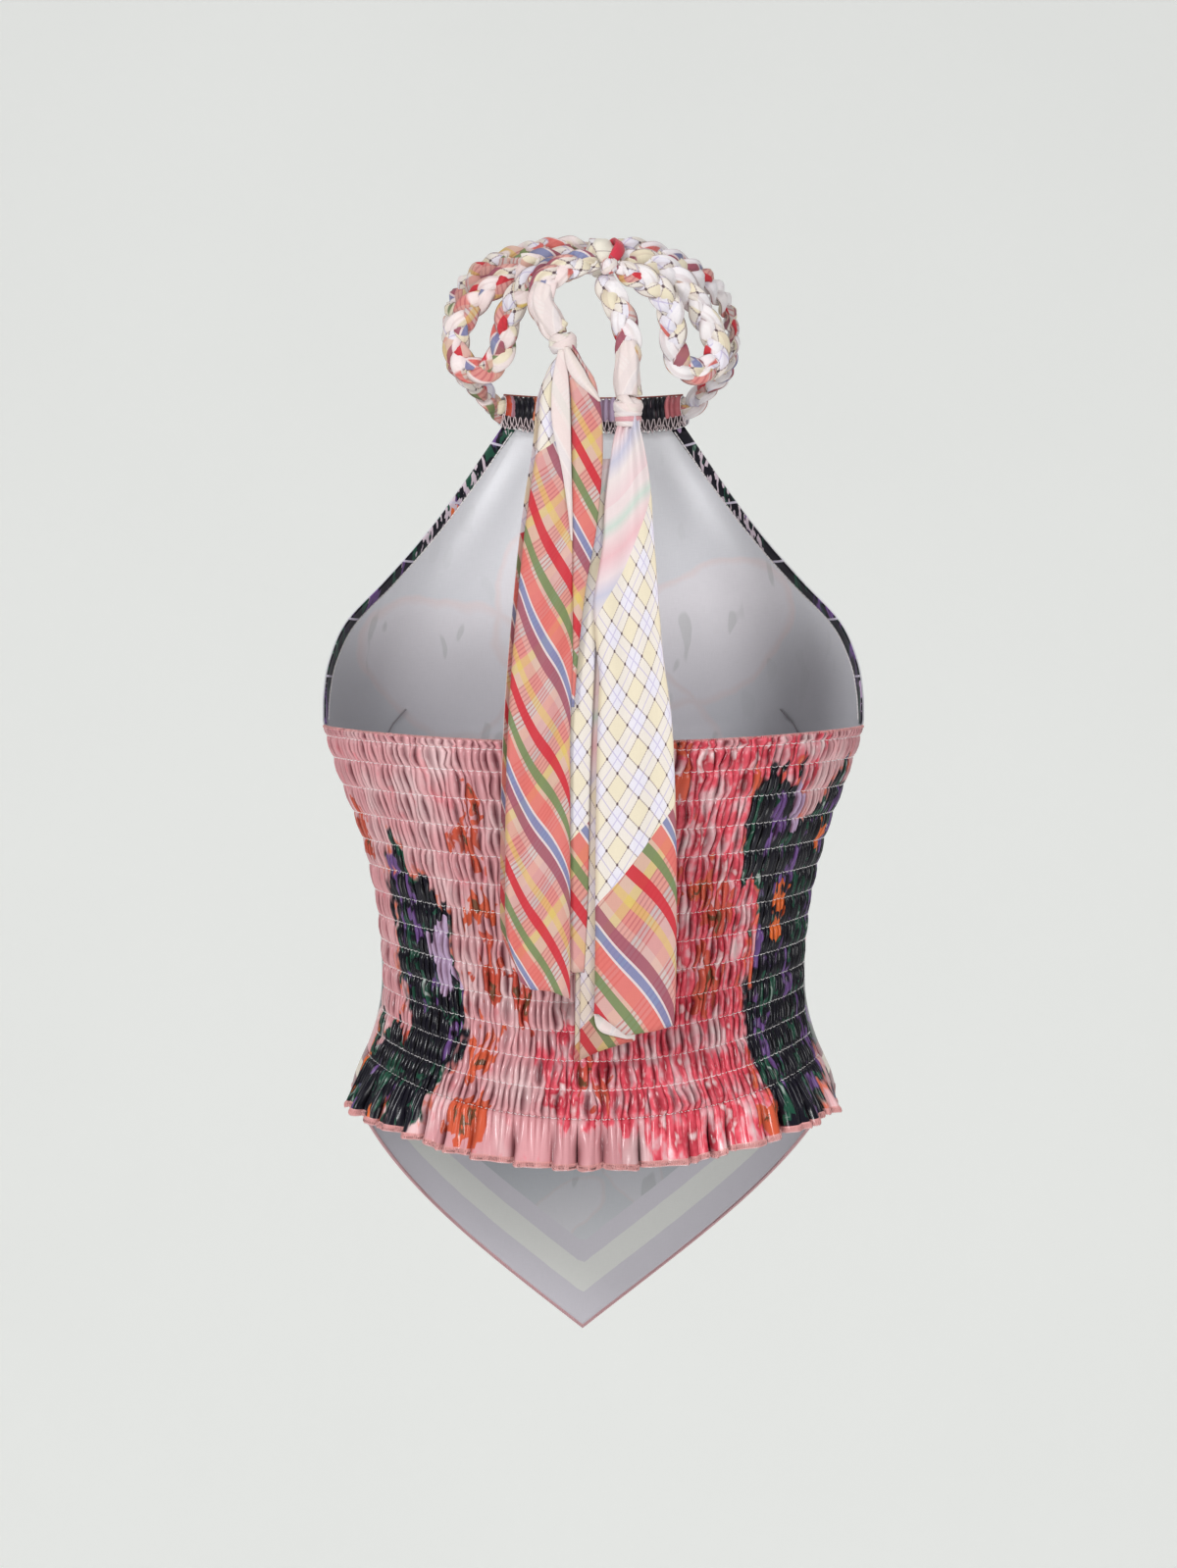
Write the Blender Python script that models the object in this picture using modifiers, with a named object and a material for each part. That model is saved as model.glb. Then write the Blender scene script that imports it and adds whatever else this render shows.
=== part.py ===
"""Halter-neck crop top with a shirred back, hung from its plaited neck tie and seen from behind.

Metres, +Z up. +X is the wearer's right, +Y is the wearer's front. The origin is the middle of the
wearer's neck, level with the knot at the nape.
"""
import math
import random

import bmesh
import bpy
from mathutils import Vector

CLOTH = 0.0012
SEAM_GAP = 0.00035

# Size of the figure that the top fills: outer half width, front depth and back depth at each height
TORSO = (
    ("z", "half_width", "front", "back"),
    (-0.2575, 0.1482, 0.1290, 0.1000),
    (-0.2880, 0.1380, 0.1250, 0.0960),
    (-0.3100, 0.1296, 0.1190, 0.0915),
    (-0.3300, 0.1237, 0.1120, 0.0865),
    (-0.3530, 0.1190, 0.1040, 0.0805),
    (-0.3760, 0.1165, 0.0985, 0.0765),
    (-0.4000, 0.1160, 0.0960, 0.0750),
    (-0.4150, 0.1180, 0.0965, 0.0770),
    (-0.4300, 0.1225, 0.0985, 0.0805),
    (-0.4500, 0.1310, 0.1020, 0.0860),
    (-0.4700, 0.1340, 0.1050, 0.0900),
    (-0.5200, 0.1345, 0.1090, 0.0950),
    (-0.6100, 0.1345, 0.1130, 0.1000),
)

# Front panel above the underarm: its armhole edges and centre, and how far each row sweeps round
CHEST = (
    ("z", "half_width", "edge_y", "centre_y", "sweep"),
    (-0.0925, 0.0510, 0.0550, 0.0660, 60.0),
    (-0.1220, 0.0730, 0.0585, 0.0790, 64.0),
    (-0.1530, 0.0970, 0.0580, 0.0950, 70.0),
    (-0.1765, 0.1175, 0.0530, 0.1060, 76.0),
    (-0.2000, 0.1385, 0.0420, 0.1150, 82.0),
    (-0.2220, 0.1470, 0.0270, 0.1220, 88.0),
    (-0.2400, 0.1490, 0.0120, 0.1265, 91.0),
    (-0.2575, 0.1482, -0.0070, 0.1290, 94.0),
)

# Angle from the centre front to the side seam, in degrees
SIDE_SEAM = (
    ("z", "sweep"),
    (-0.2575, 94.0),
    (-0.3600, 96.5),
    (-0.4000, 99.5),
    (-0.4250, 103.0),
    (-0.4450, 103.5),
    (-0.4650, 100.0),
)

UNDERARM_Z = -0.2575
FRONT_COLUMNS = 20
FRONT_CHEST_ROWS = 9
CHEST_ROW_CURVE = 0.85
SECOND_ROW_PULL = 0.35
SKIRT_FROM_ROW = 11
HEM_TIP_Z = -0.6030
HEM_RISE = 1.33
HEM_SWAY = -0.026
BUST_Z = -0.2600
BUST_X = 0.0700
BUST_RISE = 0.0120
BUST_SPREAD = 0.0430
NECK_FOLDS = 5
NECK_FOLD_DEPTH = 0.0026
NECK_FOLD_LENGTH = 0.0700

SHIRR_TOP_Z = -0.2682
SHIRR_HEADING = 0.0052
SHIRR_FIRST_GAP = 0.0119
SHIRR_GAP = 0.0153
SHIRR_ROWS = 14
SHIRR_GATHERS = 72
SHIRR_RIDGE = 0.0025
SHIRR_VALLEY = 0.0007
SHIRR_DROOP_TOP = 0.0100
SHIRR_DROOP_LOW = 0.0310
SHIRR_DRIFT = 0.3
SHIRR_EVENNESS = 0.78
HEADING_RIDGE = 0.0011
HEADING_VALLEY = 0.0002
LINING_STEP = 4
FRILL_DROP = 0.0265
FRILL_STEPS = 3
FRILL_WAVES = 30
FRILL_WAVE_DEPTH = 0.0034
FRILL_FLARE = 0.0070
FRILL_WAVE_DRIFT = 0.012
FRILL_UNEVENNESS = 0.25

CASING_HALF_WIDTH = 0.0515
CASING_Y = 0.0660
CASING_BOW = 0.0110
CASING_Z = -0.0825
CASING_LIFT = 0.0020
CASING_HALF_HEIGHT = 0.0096
CASING_HALF_DEPTH = 0.0075
CASING_MOUTH = 0.90
CASING_GATHERS = 14
CASING_GATHER_DEPTH = 0.0011
CASING_WALL = 0.0010
CASING_RINGS = 42
CASING_SIDES = 8

PLAIT_STRAND = 0.0032
PLAIT_SWING = 0.0031
PLAIT_DEPTH_SWING = 0.0014
PLAIT_PITCH = 0.0270
PLAIT_RING_STEP = 0.0037
PLAIT_SIDES = 8
PLAIT_TAPER = 0.0090
PLAIT_END_SCALE = 0.52
PLAIT_MERGE = 0.0080

# Where a plait's strands lie side by side, and the oval that they fill
STRAP_SMOOTH_LENGTH = 0.0600
STRAP_SMOOTH_RADII = (0.0061, 0.0047)
TAIL_SMOOTH_LENGTH = 0.0260
TAIL_SMOOTH_RADII = (0.0072, 0.0056)

KNOT_CENTRE = Vector((0.0041, -0.0700, -0.0088))
KNOT_RADII = Vector((0.0100, 0.0125, 0.0122))
KNOT_RIDGE = 0.06
KNOT_WRAPS = 3
TAIL_KNOT_WRAPS = 2

# The right strap's bend from its plait into the casing and its places inside it, mirrored for the left
STRAP_BEND = (
    (0.0660, 0.0400, -0.0664),
    (0.0604, 0.0485, -0.0722),
    (0.0561, 0.0527, -0.0783),
)
STRAP_INSIDE_X = (0.0515, 0.0400, 0.0280, 0.0140, 0.0005)

# Routes of the plaits, each point chosen by hand
STRAP_RIGHT = (
    (0.0722, 0.0300, -0.0612),
    (0.0752, 0.0180, -0.0556),
    (0.0772, 0.0040, -0.0466),
    (0.0758, -0.0080, -0.0375),
    (0.0717, -0.0210, -0.0281),
    (0.0650, -0.0320, -0.0205),
    (0.0551, -0.0430, -0.0138),
    (0.0422, -0.0510, -0.0080),
    (0.0300, -0.0560, -0.0046),
    (0.0200, -0.0590, -0.0030),
    (0.0094, -0.0604, -0.0024),
)
STRAP_LEFT = (
    (-0.0722, 0.0300, -0.0616),
    (-0.0772, 0.0180, -0.0556),
    (-0.0795, 0.0040, -0.0466),
    (-0.0791, -0.0080, -0.0380),
    (-0.0761, -0.0200, -0.0300),
    (-0.0710, -0.0310, -0.0222),
    (-0.0632, -0.0410, -0.0150),
    (-0.0519, -0.0490, -0.0095),
    (-0.0391, -0.0540, -0.0056),
    (-0.0264, -0.0575, -0.0034),
    (-0.0132, -0.0595, -0.0026),
    (-0.0028, -0.0604, -0.0026),
)
LOOP_RIGHT = (
    (0.0145, -0.0690, -0.0098),
    (0.0225, -0.0695, -0.0101),
    (0.0357, -0.0690, -0.0131),
    (0.0452, -0.0670, -0.0191),
    (0.0526, -0.0640, -0.0275),
    (0.0585, -0.0615, -0.0369),
    (0.0638, -0.0605, -0.0462),
    (0.0669, -0.0605, -0.0557),
    (0.0659, -0.0620, -0.0636),
    (0.0597, -0.0650, -0.0686),
    (0.0517, -0.0680, -0.0691),
    (0.0456, -0.0700, -0.0645),
    (0.0430, -0.0720, -0.0566),
    (0.0424, -0.0740, -0.0476),
    (0.0414, -0.0765, -0.0390),
    (0.0389, -0.0785, -0.0317),
    (0.0344, -0.0800, -0.0258),
    (0.0277, -0.0808, -0.0215),
    (0.0204, -0.0808, -0.0182),
    (0.0131, -0.0798, -0.0148),
)
LOOP_LEFT = (
    (-0.0061, -0.0690, -0.0098),
    (-0.0190, -0.0700, -0.0097),
    (-0.0326, -0.0705, -0.0118),
    (-0.0448, -0.0690, -0.0182),
    (-0.0565, -0.0665, -0.0256),
    (-0.0645, -0.0640, -0.0332),
    (-0.0698, -0.0625, -0.0412),
    (-0.0734, -0.0620, -0.0493),
    (-0.0727, -0.0625, -0.0587),
    (-0.0690, -0.0640, -0.0655),
    (-0.0630, -0.0660, -0.0687),
    (-0.0558, -0.0680, -0.0673),
    (-0.0508, -0.0700, -0.0614),
    (-0.0484, -0.0720, -0.0537),
    (-0.0468, -0.0745, -0.0449),
    (-0.0436, -0.0770, -0.0362),
    (-0.0388, -0.0790, -0.0287),
    (-0.0325, -0.0805, -0.0224),
    (-0.0240, -0.0812, -0.0178),
    (-0.0150, -0.0812, -0.0155),
    (-0.0049, -0.0798, -0.0144),
)
TAIL_LEFT = (
    (0.0018, -0.0834, -0.0120),
    (-0.0050, -0.0869, -0.0130),
    (-0.0125, -0.0898, -0.0152),
    (-0.0200, -0.0915, -0.0190),
    (-0.0258, -0.0920, -0.0250),
    (-0.0278, -0.0920, -0.0325),
    (-0.0252, -0.0917, -0.0405),
    (-0.0184, -0.0913, -0.0503),
)
TAIL_RIGHT = (
    (0.0066, -0.0774, -0.0192),
    (0.0074, -0.0817, -0.0246),
    (0.0102, -0.0855, -0.0315),
    (0.0138, -0.0880, -0.0395),
    (0.0168, -0.0892, -0.0475),
    (0.0180, -0.0900, -0.0552),
    (0.0182, -0.0905, -0.0647),
    (0.0176, -0.0910, -0.0742),
    (0.0180, -0.0915, -0.0844),
)

TAIL_KNOT_RADII = {
    "left": Vector((0.0072, 0.0064, 0.0054)),
    "right": Vector((0.0074, 0.0066, 0.0050)),
}
TAIL_KNOT_CENTRE = {
    "left": Vector((-0.0163, -0.0912, -0.0562)),
    "right": Vector((0.0184, -0.0922, -0.0898)),
}

# Hanging cloth of each tail: its left and right edge and the depth of its middle at each height
CLOTH_LEFT = (
    ("z", "left", "right", "middle_y"),
    (-0.0625, -0.0200, -0.0125, -0.0920),
    (-0.0690, -0.0262, -0.0066, -0.0935),
    (-0.0814, -0.0303, 0.0010, -0.0955),
    (-0.1051, -0.0323, 0.0036, -0.0980),
    (-0.1318, -0.0364, 0.0034, -0.1005),
    (-0.1558, -0.0395, -0.0004, -0.1025),
    (-0.1870, -0.0425, -0.0048, -0.1045),
    (-0.2238, -0.0457, -0.0094, -0.1060),
    (-0.2595, -0.0478, -0.0121, -0.1068),
    (-0.2962, -0.0490, -0.0124, -0.1068),
    (-0.3324, -0.0492, -0.0124, -0.1066),
    (-0.3727, -0.0488, -0.0124, -0.1064),
    (-0.4000, -0.0440, -0.0124, -0.1062),
)
CLOTH_RIGHT = (
    ("z", "left", "right", "middle_y"),
    (-0.0955, 0.0130, 0.0240, -0.0930),
    (-0.1037, 0.0108, 0.0245, -0.0942),
    (-0.1169, 0.0087, 0.0272, -0.0960),
    (-0.1359, 0.0062, 0.0301, -0.0985),
    (-0.1578, 0.0052, 0.0316, -0.1010),
    (-0.1870, 0.0004, 0.0337, -0.1035),
    (-0.2238, -0.0044, 0.0365, -0.1055),
    (-0.2595, -0.0074, 0.0412, -0.1068),
    (-0.2962, -0.0088, 0.0430, -0.1070),
    (-0.3324, -0.0094, 0.0438, -0.1068),
    (-0.3727, -0.0096, 0.0438, -0.1066),
    (-0.4057, -0.0098, 0.0433, -0.1064),
    (-0.4230, -0.0100, 0.0424, -0.1062),
)

# The folds of a tail from its top layer down: place across it from left to right, and layer
FOLDS = (
    ("across", "layer"),
    (1.00, 1.0),
    (0.82, 1.1),
    (0.60, 1.1),
    (0.38, 1.1),
    (0.22, 1.0),
    (0.18, 0.5),
    (0.24, 0.0),
    (0.46, 0.0),
    (0.50, -0.5),
    (0.44, -1.0),
    (0.22, -1.0),
    (0.00, -1.0),
)
LAYER_STEP = 0.0028
TAIL_WALL = 0.0010
TAIL_HEM_WAVE = 0.0040
TAIL_HEM_STEP = 0.0030


def column_values(table, z):
    """Values of a table's columns at a height, on a smooth curve through its rows."""
    rows = table[1:]
    last = len(rows) - 1
    if z >= rows[0][0]:
        return rows[0][1:]
    if z <= rows[last][0]:
        return rows[last][1:]
    low = max(i for i in range(last) if rows[i][0] >= z)
    before, here, there, after = (rows[min(max(k, 0), last)] for k in range(low - 1, low + 3))
    span = there[0] - here[0]
    t = (z - here[0]) / span

    def hermite(col):
        into = (there[col] - before[col]) / ((there[0] - before[0]) or span) * span
        out = (after[col] - here[col]) / ((after[0] - here[0]) or span) * span
        return (
            (2 * t**3 - 3 * t**2 + 1) * here[col]
            + (t**3 - 2 * t**2 + t) * into
            + (3 * t**2 - 2 * t**3) * there[col]
            + (t**3 - t**2) * out
        )

    return tuple(hermite(col) for col in range(1, len(here)))


def smooth_route(points, step):
    """Points a step apart on a smooth curve through the given points."""
    pts = [Vector(p) for p in points]
    fine = []
    for i in range(len(pts) - 1):
        p0 = pts[max(i - 1, 0)]
        p1 = pts[i]
        p2 = pts[i + 1]
        p3 = pts[min(i + 2, len(pts) - 1)]
        for k in range(12):
            t = k / 12
            fine.append(
                0.5 * (2 * p1 + (p2 - p0) * t + (2 * p0 - 5 * p1 + 4 * p2 - p3) * t**2
                       + (3 * p1 - p0 - 3 * p2 + p3) * t**3)
            )
    fine.append(pts[-1])
    run = [0.0]
    for a, b in zip(fine, fine[1:]):
        run.append(run[-1] + (b - a).length)
    count = max(2, round(run[-1] / step))
    route = []
    at = 0
    for k in range(count + 1):
        want = run[-1] * k / count
        while at < len(run) - 2 and run[at + 1] < want:
            at += 1
        part = (want - run[at]) / max(run[at + 1] - run[at], 1e-9)
        route.append(fine[at].lerp(fine[at + 1], min(max(part, 0.0), 1.0)))
    return route


def material(name, color, roughness):
    mat = bpy.data.materials.new(name)
    mat.use_nodes = True
    shader = mat.node_tree.nodes["Principled BSDF"]
    shader.inputs["Base Color"].default_value = (*color, 1.0)
    shader.inputs["Roughness"].default_value = roughness
    shader.inputs["Metallic"].default_value = 0.0
    mat.diffuse_color = (*color, 1.0)
    return mat


def add_object(name, bm, collection, mat, smooth=True):
    mesh = bpy.data.meshes.new(name)
    bm.to_mesh(mesh)
    bm.free()
    if smooth:
        mesh.shade_smooth()
    mesh.materials.append(mat)
    obj = bpy.data.objects.new(name, mesh)
    collection.objects.link(obj)
    return obj


def thicken(obj, thickness):
    wall = obj.modifiers.new("wall", "SOLIDIFY")
    wall.thickness = thickness
    wall.offset = 0.0
    wall.use_rim = True


def grid_rows(bm, points):
    """Quads between rows of points that all have the same length."""
    rows = [[bm.verts.new(p) for p in row] for row in points]
    for above, below in zip(rows, rows[1:]):
        for i in range(len(above) - 1):
            bm.faces.new((above[i], above[i + 1], below[i + 1], below[i]))
    return rows


def torso_point(z, sweep, out=0.0):
    """Point on the figure at a height and an angle from its centre front, moved out by a distance."""
    half_width, front, back = column_values(TORSO, z)
    depth = front if math.cos(sweep) >= 0.0 else back
    x = half_width * math.sin(sweep)
    y = depth * math.cos(sweep)
    normal = Vector((math.sin(sweep) / half_width, math.cos(sweep) / depth, 0.0)).normalized()
    return Vector((x, y, z)) + normal * out


def seam_sweep(z):
    return math.radians(column_values(SIDE_SEAM, z)[0])


def casing_curve(x):
    """Centre line of the neck casing, which the tie follows inside it."""
    across = x / CASING_HALF_WIDTH
    return Vector((x, CASING_Y - CASING_BOW * across**2, CASING_Z + CASING_LIFT * across**4))


def casing_scale(x):
    across = abs(x) / CASING_HALF_WIDTH
    return 1.0 - (1.0 - CASING_MOUTH) * across**6


def bust_rise(x, z):
    fall_x = (abs(x) - BUST_X) / BUST_SPREAD
    fall_z = (z - BUST_Z) / BUST_SPREAD
    return BUST_RISE * math.exp(-(fall_x**2) - fall_z**2)


def front_point(across, z):
    """Point of the front panel: across runs from -1 at one edge to 1 at the other."""
    if z > UNDERARM_Z:
        half_width, edge_y, centre_y, sweep = column_values(CHEST, z)
        full = math.radians(sweep)
        angle = across * full
        x = half_width * math.sin(angle) / math.sin(full)
        y = centre_y - (centre_y - edge_y) * (1 - math.cos(angle)) / (1 - math.cos(full))
        point = Vector((x, y, z))
    else:
        point = torso_point(z, across * seam_sweep(z))
    point.y += bust_rise(point.x, z) * (1 - across**4)
    below_neck = CHEST[1][0] - z
    fade = math.exp(-((below_neck / NECK_FOLD_LENGTH) ** 2)) * (1 - across**6)
    point.y += NECK_FOLD_DEPTH * fade * math.cos(NECK_FOLDS * math.pi * across)
    return point


def hem_share(across):
    """Share of the way from the hem's point up to the side seam."""
    return HEM_RISE * across - (HEM_RISE - 1) * across**8


def shirr_heights():
    """Heights at the centre back of the top edge and of each row of elastic thread."""
    heights = [SHIRR_TOP_Z, SHIRR_TOP_Z - SHIRR_HEADING]
    heights.append(heights[-1] - SHIRR_FIRST_GAP)
    while len(heights) < SHIRR_ROWS + 1:
        heights.append(heights[-1] - SHIRR_GAP)
    return heights


def shirr_droop(centre_z):
    """How far a row hangs lower at the centre back than at the side seams."""
    depth = (centre_z - SHIRR_TOP_Z) / (shirr_heights()[-1] - SHIRR_TOP_Z)
    return SHIRR_DROOP_TOP + (SHIRR_DROOP_LOW - SHIRR_DROOP_TOP) * depth**2


def seam_heights():
    """Heights on the side seam of the back's rows and of the frill's steps below them."""
    heights = [z + shirr_droop(z) for z in shirr_heights()]
    last = heights[-1]
    return heights + [last - FRILL_DROP * step / FRILL_STEPS for step in range(1, FRILL_STEPS + 1)]


def front_panel(collection):
    spread = [2 * i / FRONT_COLUMNS - 1 for i in range(FRONT_COLUMNS + 1)]
    rows = []
    for k in range(FRONT_CHEST_ROWS):
        share = k / FRONT_CHEST_ROWS
        z = CHEST[1][0] + (UNDERARM_Z - CHEST[1][0]) * share**CHEST_ROW_CURVE
        rows.append([front_point(u, z) for u in spread])
    for i, u in enumerate(spread):
        line = casing_curve(rows[0][i].x)
        low = CASING_HALF_HEIGHT * casing_scale(line.x)
        rows[0][i] = Vector((line.x, line.y, line.z - low - SEAM_GAP))
        rows[1][i].z += SECOND_ROW_PULL * (rows[0][i].z - CHEST[1][0])
    heights = seam_heights()
    skirt_top = heights[SKIRT_FROM_ROW]
    rows += [[front_point(u, z) for u in spread] for z in heights[:SKIRT_FROM_ROW]]
    for z in heights[SKIRT_FROM_ROW:]:
        share = (z - skirt_top) / (heights[-1] - skirt_top)
        row = []
        for u in spread:
            hem = HEM_TIP_Z + (heights[-1] - HEM_TIP_Z) * hem_share(abs(u))
            sway = HEM_SWAY * share * (1 - u**2)
            row.append(front_point(u + sway, skirt_top + (hem - skirt_top) * share))
        rows.append(row)
    bm = bmesh.new()
    grid_rows(bm, rows)
    obj = add_object("front_panel", bm, collection, material("front_satin", (0.80, 0.79, 0.81), 0.5))
    thicken(obj, CLOTH)


def back_point(centre_z, turn, out, drop=0.0):
    """Point of the back panel: turn runs from -1 at one side seam to 1 at the other."""
    bend = math.cos(turn * math.pi / 2)
    z = centre_z + shirr_droop(centre_z) * (1 - 0.5 * (bend + bend**2)) - drop
    edge = math.pi - seam_sweep(z)
    half_width = column_values(TORSO, z)[0]
    reach = edge - SEAM_GAP / half_width
    return torso_point(z, math.pi - turn * reach, out)


def fan(bm, pinched, open_row):
    """Triangles from a row of gathers to a row with twice as many points."""
    for i in range(len(pinched) - 1):
        valley, ridge, next_valley = open_row[2 * i:2 * i + 3]
        bm.faces.new((pinched[i], valley, ridge))
        bm.faces.new((pinched[i], ridge, pinched[i + 1]))
        bm.faces.new((pinched[i + 1], ridge, next_valley))


def patches(bm, coarse, fine):
    """Faces from a row with few points to a row with many, one for each coarse step."""
    step = (len(fine) - 1) // (len(coarse) - 1)
    for i in range(len(coarse) - 1):
        bm.faces.new([coarse[i + 1], coarse[i]] + fine[step * i:step * (i + 1) + 1])


def back_panel(collection):
    rng = random.Random(14)
    gathers = SHIRR_GATHERS
    drift = [rng.uniform(-SHIRR_DRIFT, SHIRR_DRIFT) / gathers for _ in range(gathers - 1)]
    drift = [0.0] + drift + [0.0]
    turns = [2 * i / gathers - 1 + drift[i] for i in range(gathers + 1)]
    double = []
    for a, b in zip(turns, turns[1:]):
        double += [a, (a + b) / 2]
    double.append(turns[-1])
    heights = shirr_heights()
    bm = bmesh.new()

    def row(centre_z, spread, outs, drop=0.0):
        return [bm.verts.new(back_point(centre_z, t, o, drop)) for t, o in zip(spread, outs)]

    def ridges(height, low):
        outs = [low] * len(double)
        for i in range(1, len(double), 2):
            outs[i] += height * rng.uniform(SHIRR_EVENNESS, 1.0)
        outs[0] = outs[-1] = SEAM_GAP
        return outs

    flat = [0.0] * len(turns)
    pinched = [row(z, turns, flat) for z in heights[1:]]
    top = row(heights[0], double, ridges(HEADING_RIDGE, HEADING_VALLEY))
    fan(bm, pinched[0], top)
    ends = [[top[0], pinched[0][0]]]
    far_ends = [[top[-1], pinched[0][-1]]]
    for k in range(SHIRR_ROWS - 1):
        middle_z = (heights[k + 1] + heights[k + 2]) / 2
        middle = row(middle_z, double, ridges(SHIRR_RIDGE - SHIRR_VALLEY, SHIRR_VALLEY))
        fan(bm, pinched[k], middle)
        fan(bm, pinched[k + 1], middle)
        ends.append([pinched[k][0], middle[0], pinched[k + 1][0]])
        far_ends.append([pinched[k][-1], middle[-1], pinched[k + 1][-1]])

    def frill_rows(base, side):
        """The frill's outer or inner face, which opens from the last row into waves."""
        rows = []
        for s in range(1, FRILL_STEPS + 1):
            share = s / FRILL_STEPS
            outs = []
            for t in double:
                hold = 1 - abs(t) ** 10
                swell = 1.0 - FRILL_UNEVENNESS + FRILL_UNEVENNESS * math.sin(9 * t + 1)
                wave = math.sin(math.pi * FRILL_WAVES * (t + FRILL_WAVE_DRIFT * math.sin(7 * t)))
                out = FRILL_FLARE * share**1.2 + FRILL_WAVE_DEPTH * swell * share**0.7 * wave
                outs.append(side + hold * out)
            rows.append(row(heights[-1], double, outs, FRILL_DROP * share))
        fan(bm, base, rows[0])
        for above, below in zip(rows, rows[1:]):
            for i in range(len(above) - 1):
                bm.faces.new((above[i], above[i + 1], below[i + 1], below[i]))
        return rows

    coarse_turns = turns[::LINING_STEP]
    inside = [-CLOTH] * len(coarse_turns)
    lining = [row(z, coarse_turns, inside) for z in heights[:-1]]
    for above, below in zip(lining, lining[1:]):
        for i in range(len(above) - 1):
            bm.faces.new((above[i], above[i + 1], below[i + 1], below[i]))
    last_inside = row(heights[-1], turns, [-CLOTH] * len(turns))
    patches(bm, lining[-1], last_inside)
    patches(bm, lining[0], top)
    outer = frill_rows(pinched[-1], 0.0)
    inner = frill_rows(last_inside, -CLOTH)
    for i in range(len(outer[-1]) - 1):
        bm.faces.new((outer[-1][i], outer[-1][i + 1], inner[-1][i + 1], inner[-1][i]))
    for side, edges in ((0, ends), (-1, far_ends)):
        column = [line[side] for line in lining] + [last_inside[side]]
        for k, edge in enumerate(edges):
            bm.faces.new(edge + [column[k + 1], column[k]])
        outer_side = [pinched[-1][side]] + [line[side] for line in outer]
        inner_side = [last_inside[side]] + [line[side] for line in inner]
        for k in range(len(outer_side) - 1):
            bm.faces.new((outer_side[k], outer_side[k + 1], inner_side[k + 1], inner_side[k]))
    bmesh.ops.recalc_face_normals(bm, faces=bm.faces)
    add_object("back_panel", bm, collection, material("floral_satin", (0.72, 0.22, 0.26), 0.4), False)


def ring_loft(bm, rings, capped):
    """Quads between rings of points, with a face on each end if it is capped."""
    loops = [[bm.verts.new(p) for p in ring] for ring in rings]
    sides = len(loops[0])
    for a, b in zip(loops, loops[1:]):
        for i in range(sides):
            j = (i + 1) % sides
            bm.faces.new((a[i], a[j], b[j], b[i]))
    if capped:
        bm.faces.new(loops[0])
        bm.faces.new(loops[-1])
    bmesh.ops.recalc_face_normals(bm, faces=bm.faces)


def neck_casing(collection):
    """The drawstring channel at the front's top edge, gathered on the tie and open at both ends."""
    rings = []
    for k in range(CASING_RINGS + 1):
        x = CASING_HALF_WIDTH * (2 * k / CASING_RINGS - 1)
        centre = casing_curve(x)
        ahead = (casing_curve(x + 0.001) - casing_curve(x - 0.001)).normalized()
        outward = Vector((0, 0, 1)).cross(ahead).normalized()
        scale = casing_scale(x)
        gather = CASING_GATHER_DEPTH * math.cos(math.pi * CASING_GATHERS * x / CASING_HALF_WIDTH)
        ring = []
        for s in range(CASING_SIDES):
            angle = 2 * math.pi * s / CASING_SIDES
            up = math.cos(angle)
            swell = gather * (0.5 + 0.5 * up) ** 0.5 * (1 - (abs(x) / CASING_HALF_WIDTH) ** 8)
            high = (CASING_HALF_HEIGHT - CASING_WALL / 2) * scale + swell
            deep = (CASING_HALF_DEPTH - CASING_WALL / 2) * scale + swell
            ring.append(centre + Vector((0, 0, high * up)) + outward * deep * math.sin(angle))
        rings.append(ring)
    bm = bmesh.new()
    ring_loft(bm, rings, capped=False)
    obj = add_object("neck_casing", bm, collection, material("casing_satin", (0.62, 0.30, 0.30), 0.45))
    thicken(obj, CASING_WALL)


def plait_reach(angle, along):
    """Distance from a plait's centre line to its outside: three strands that swing over each other."""
    reach = 0.6 * PLAIT_STRAND
    for k in range(3):
        phase = 2 * math.pi * (along / PLAIT_PITCH + k / 3)
        side = PLAIT_SWING * math.sin(phase)
        face = PLAIT_DEPTH_SWING * math.sin(2 * phase)
        toward = side * math.cos(angle) + face * math.sin(angle)
        past = side * math.sin(angle) - face * math.cos(angle)
        if abs(past) < PLAIT_STRAND:
            reach = max(reach, toward + math.sqrt(PLAIT_STRAND**2 - past**2))
    return reach


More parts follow.
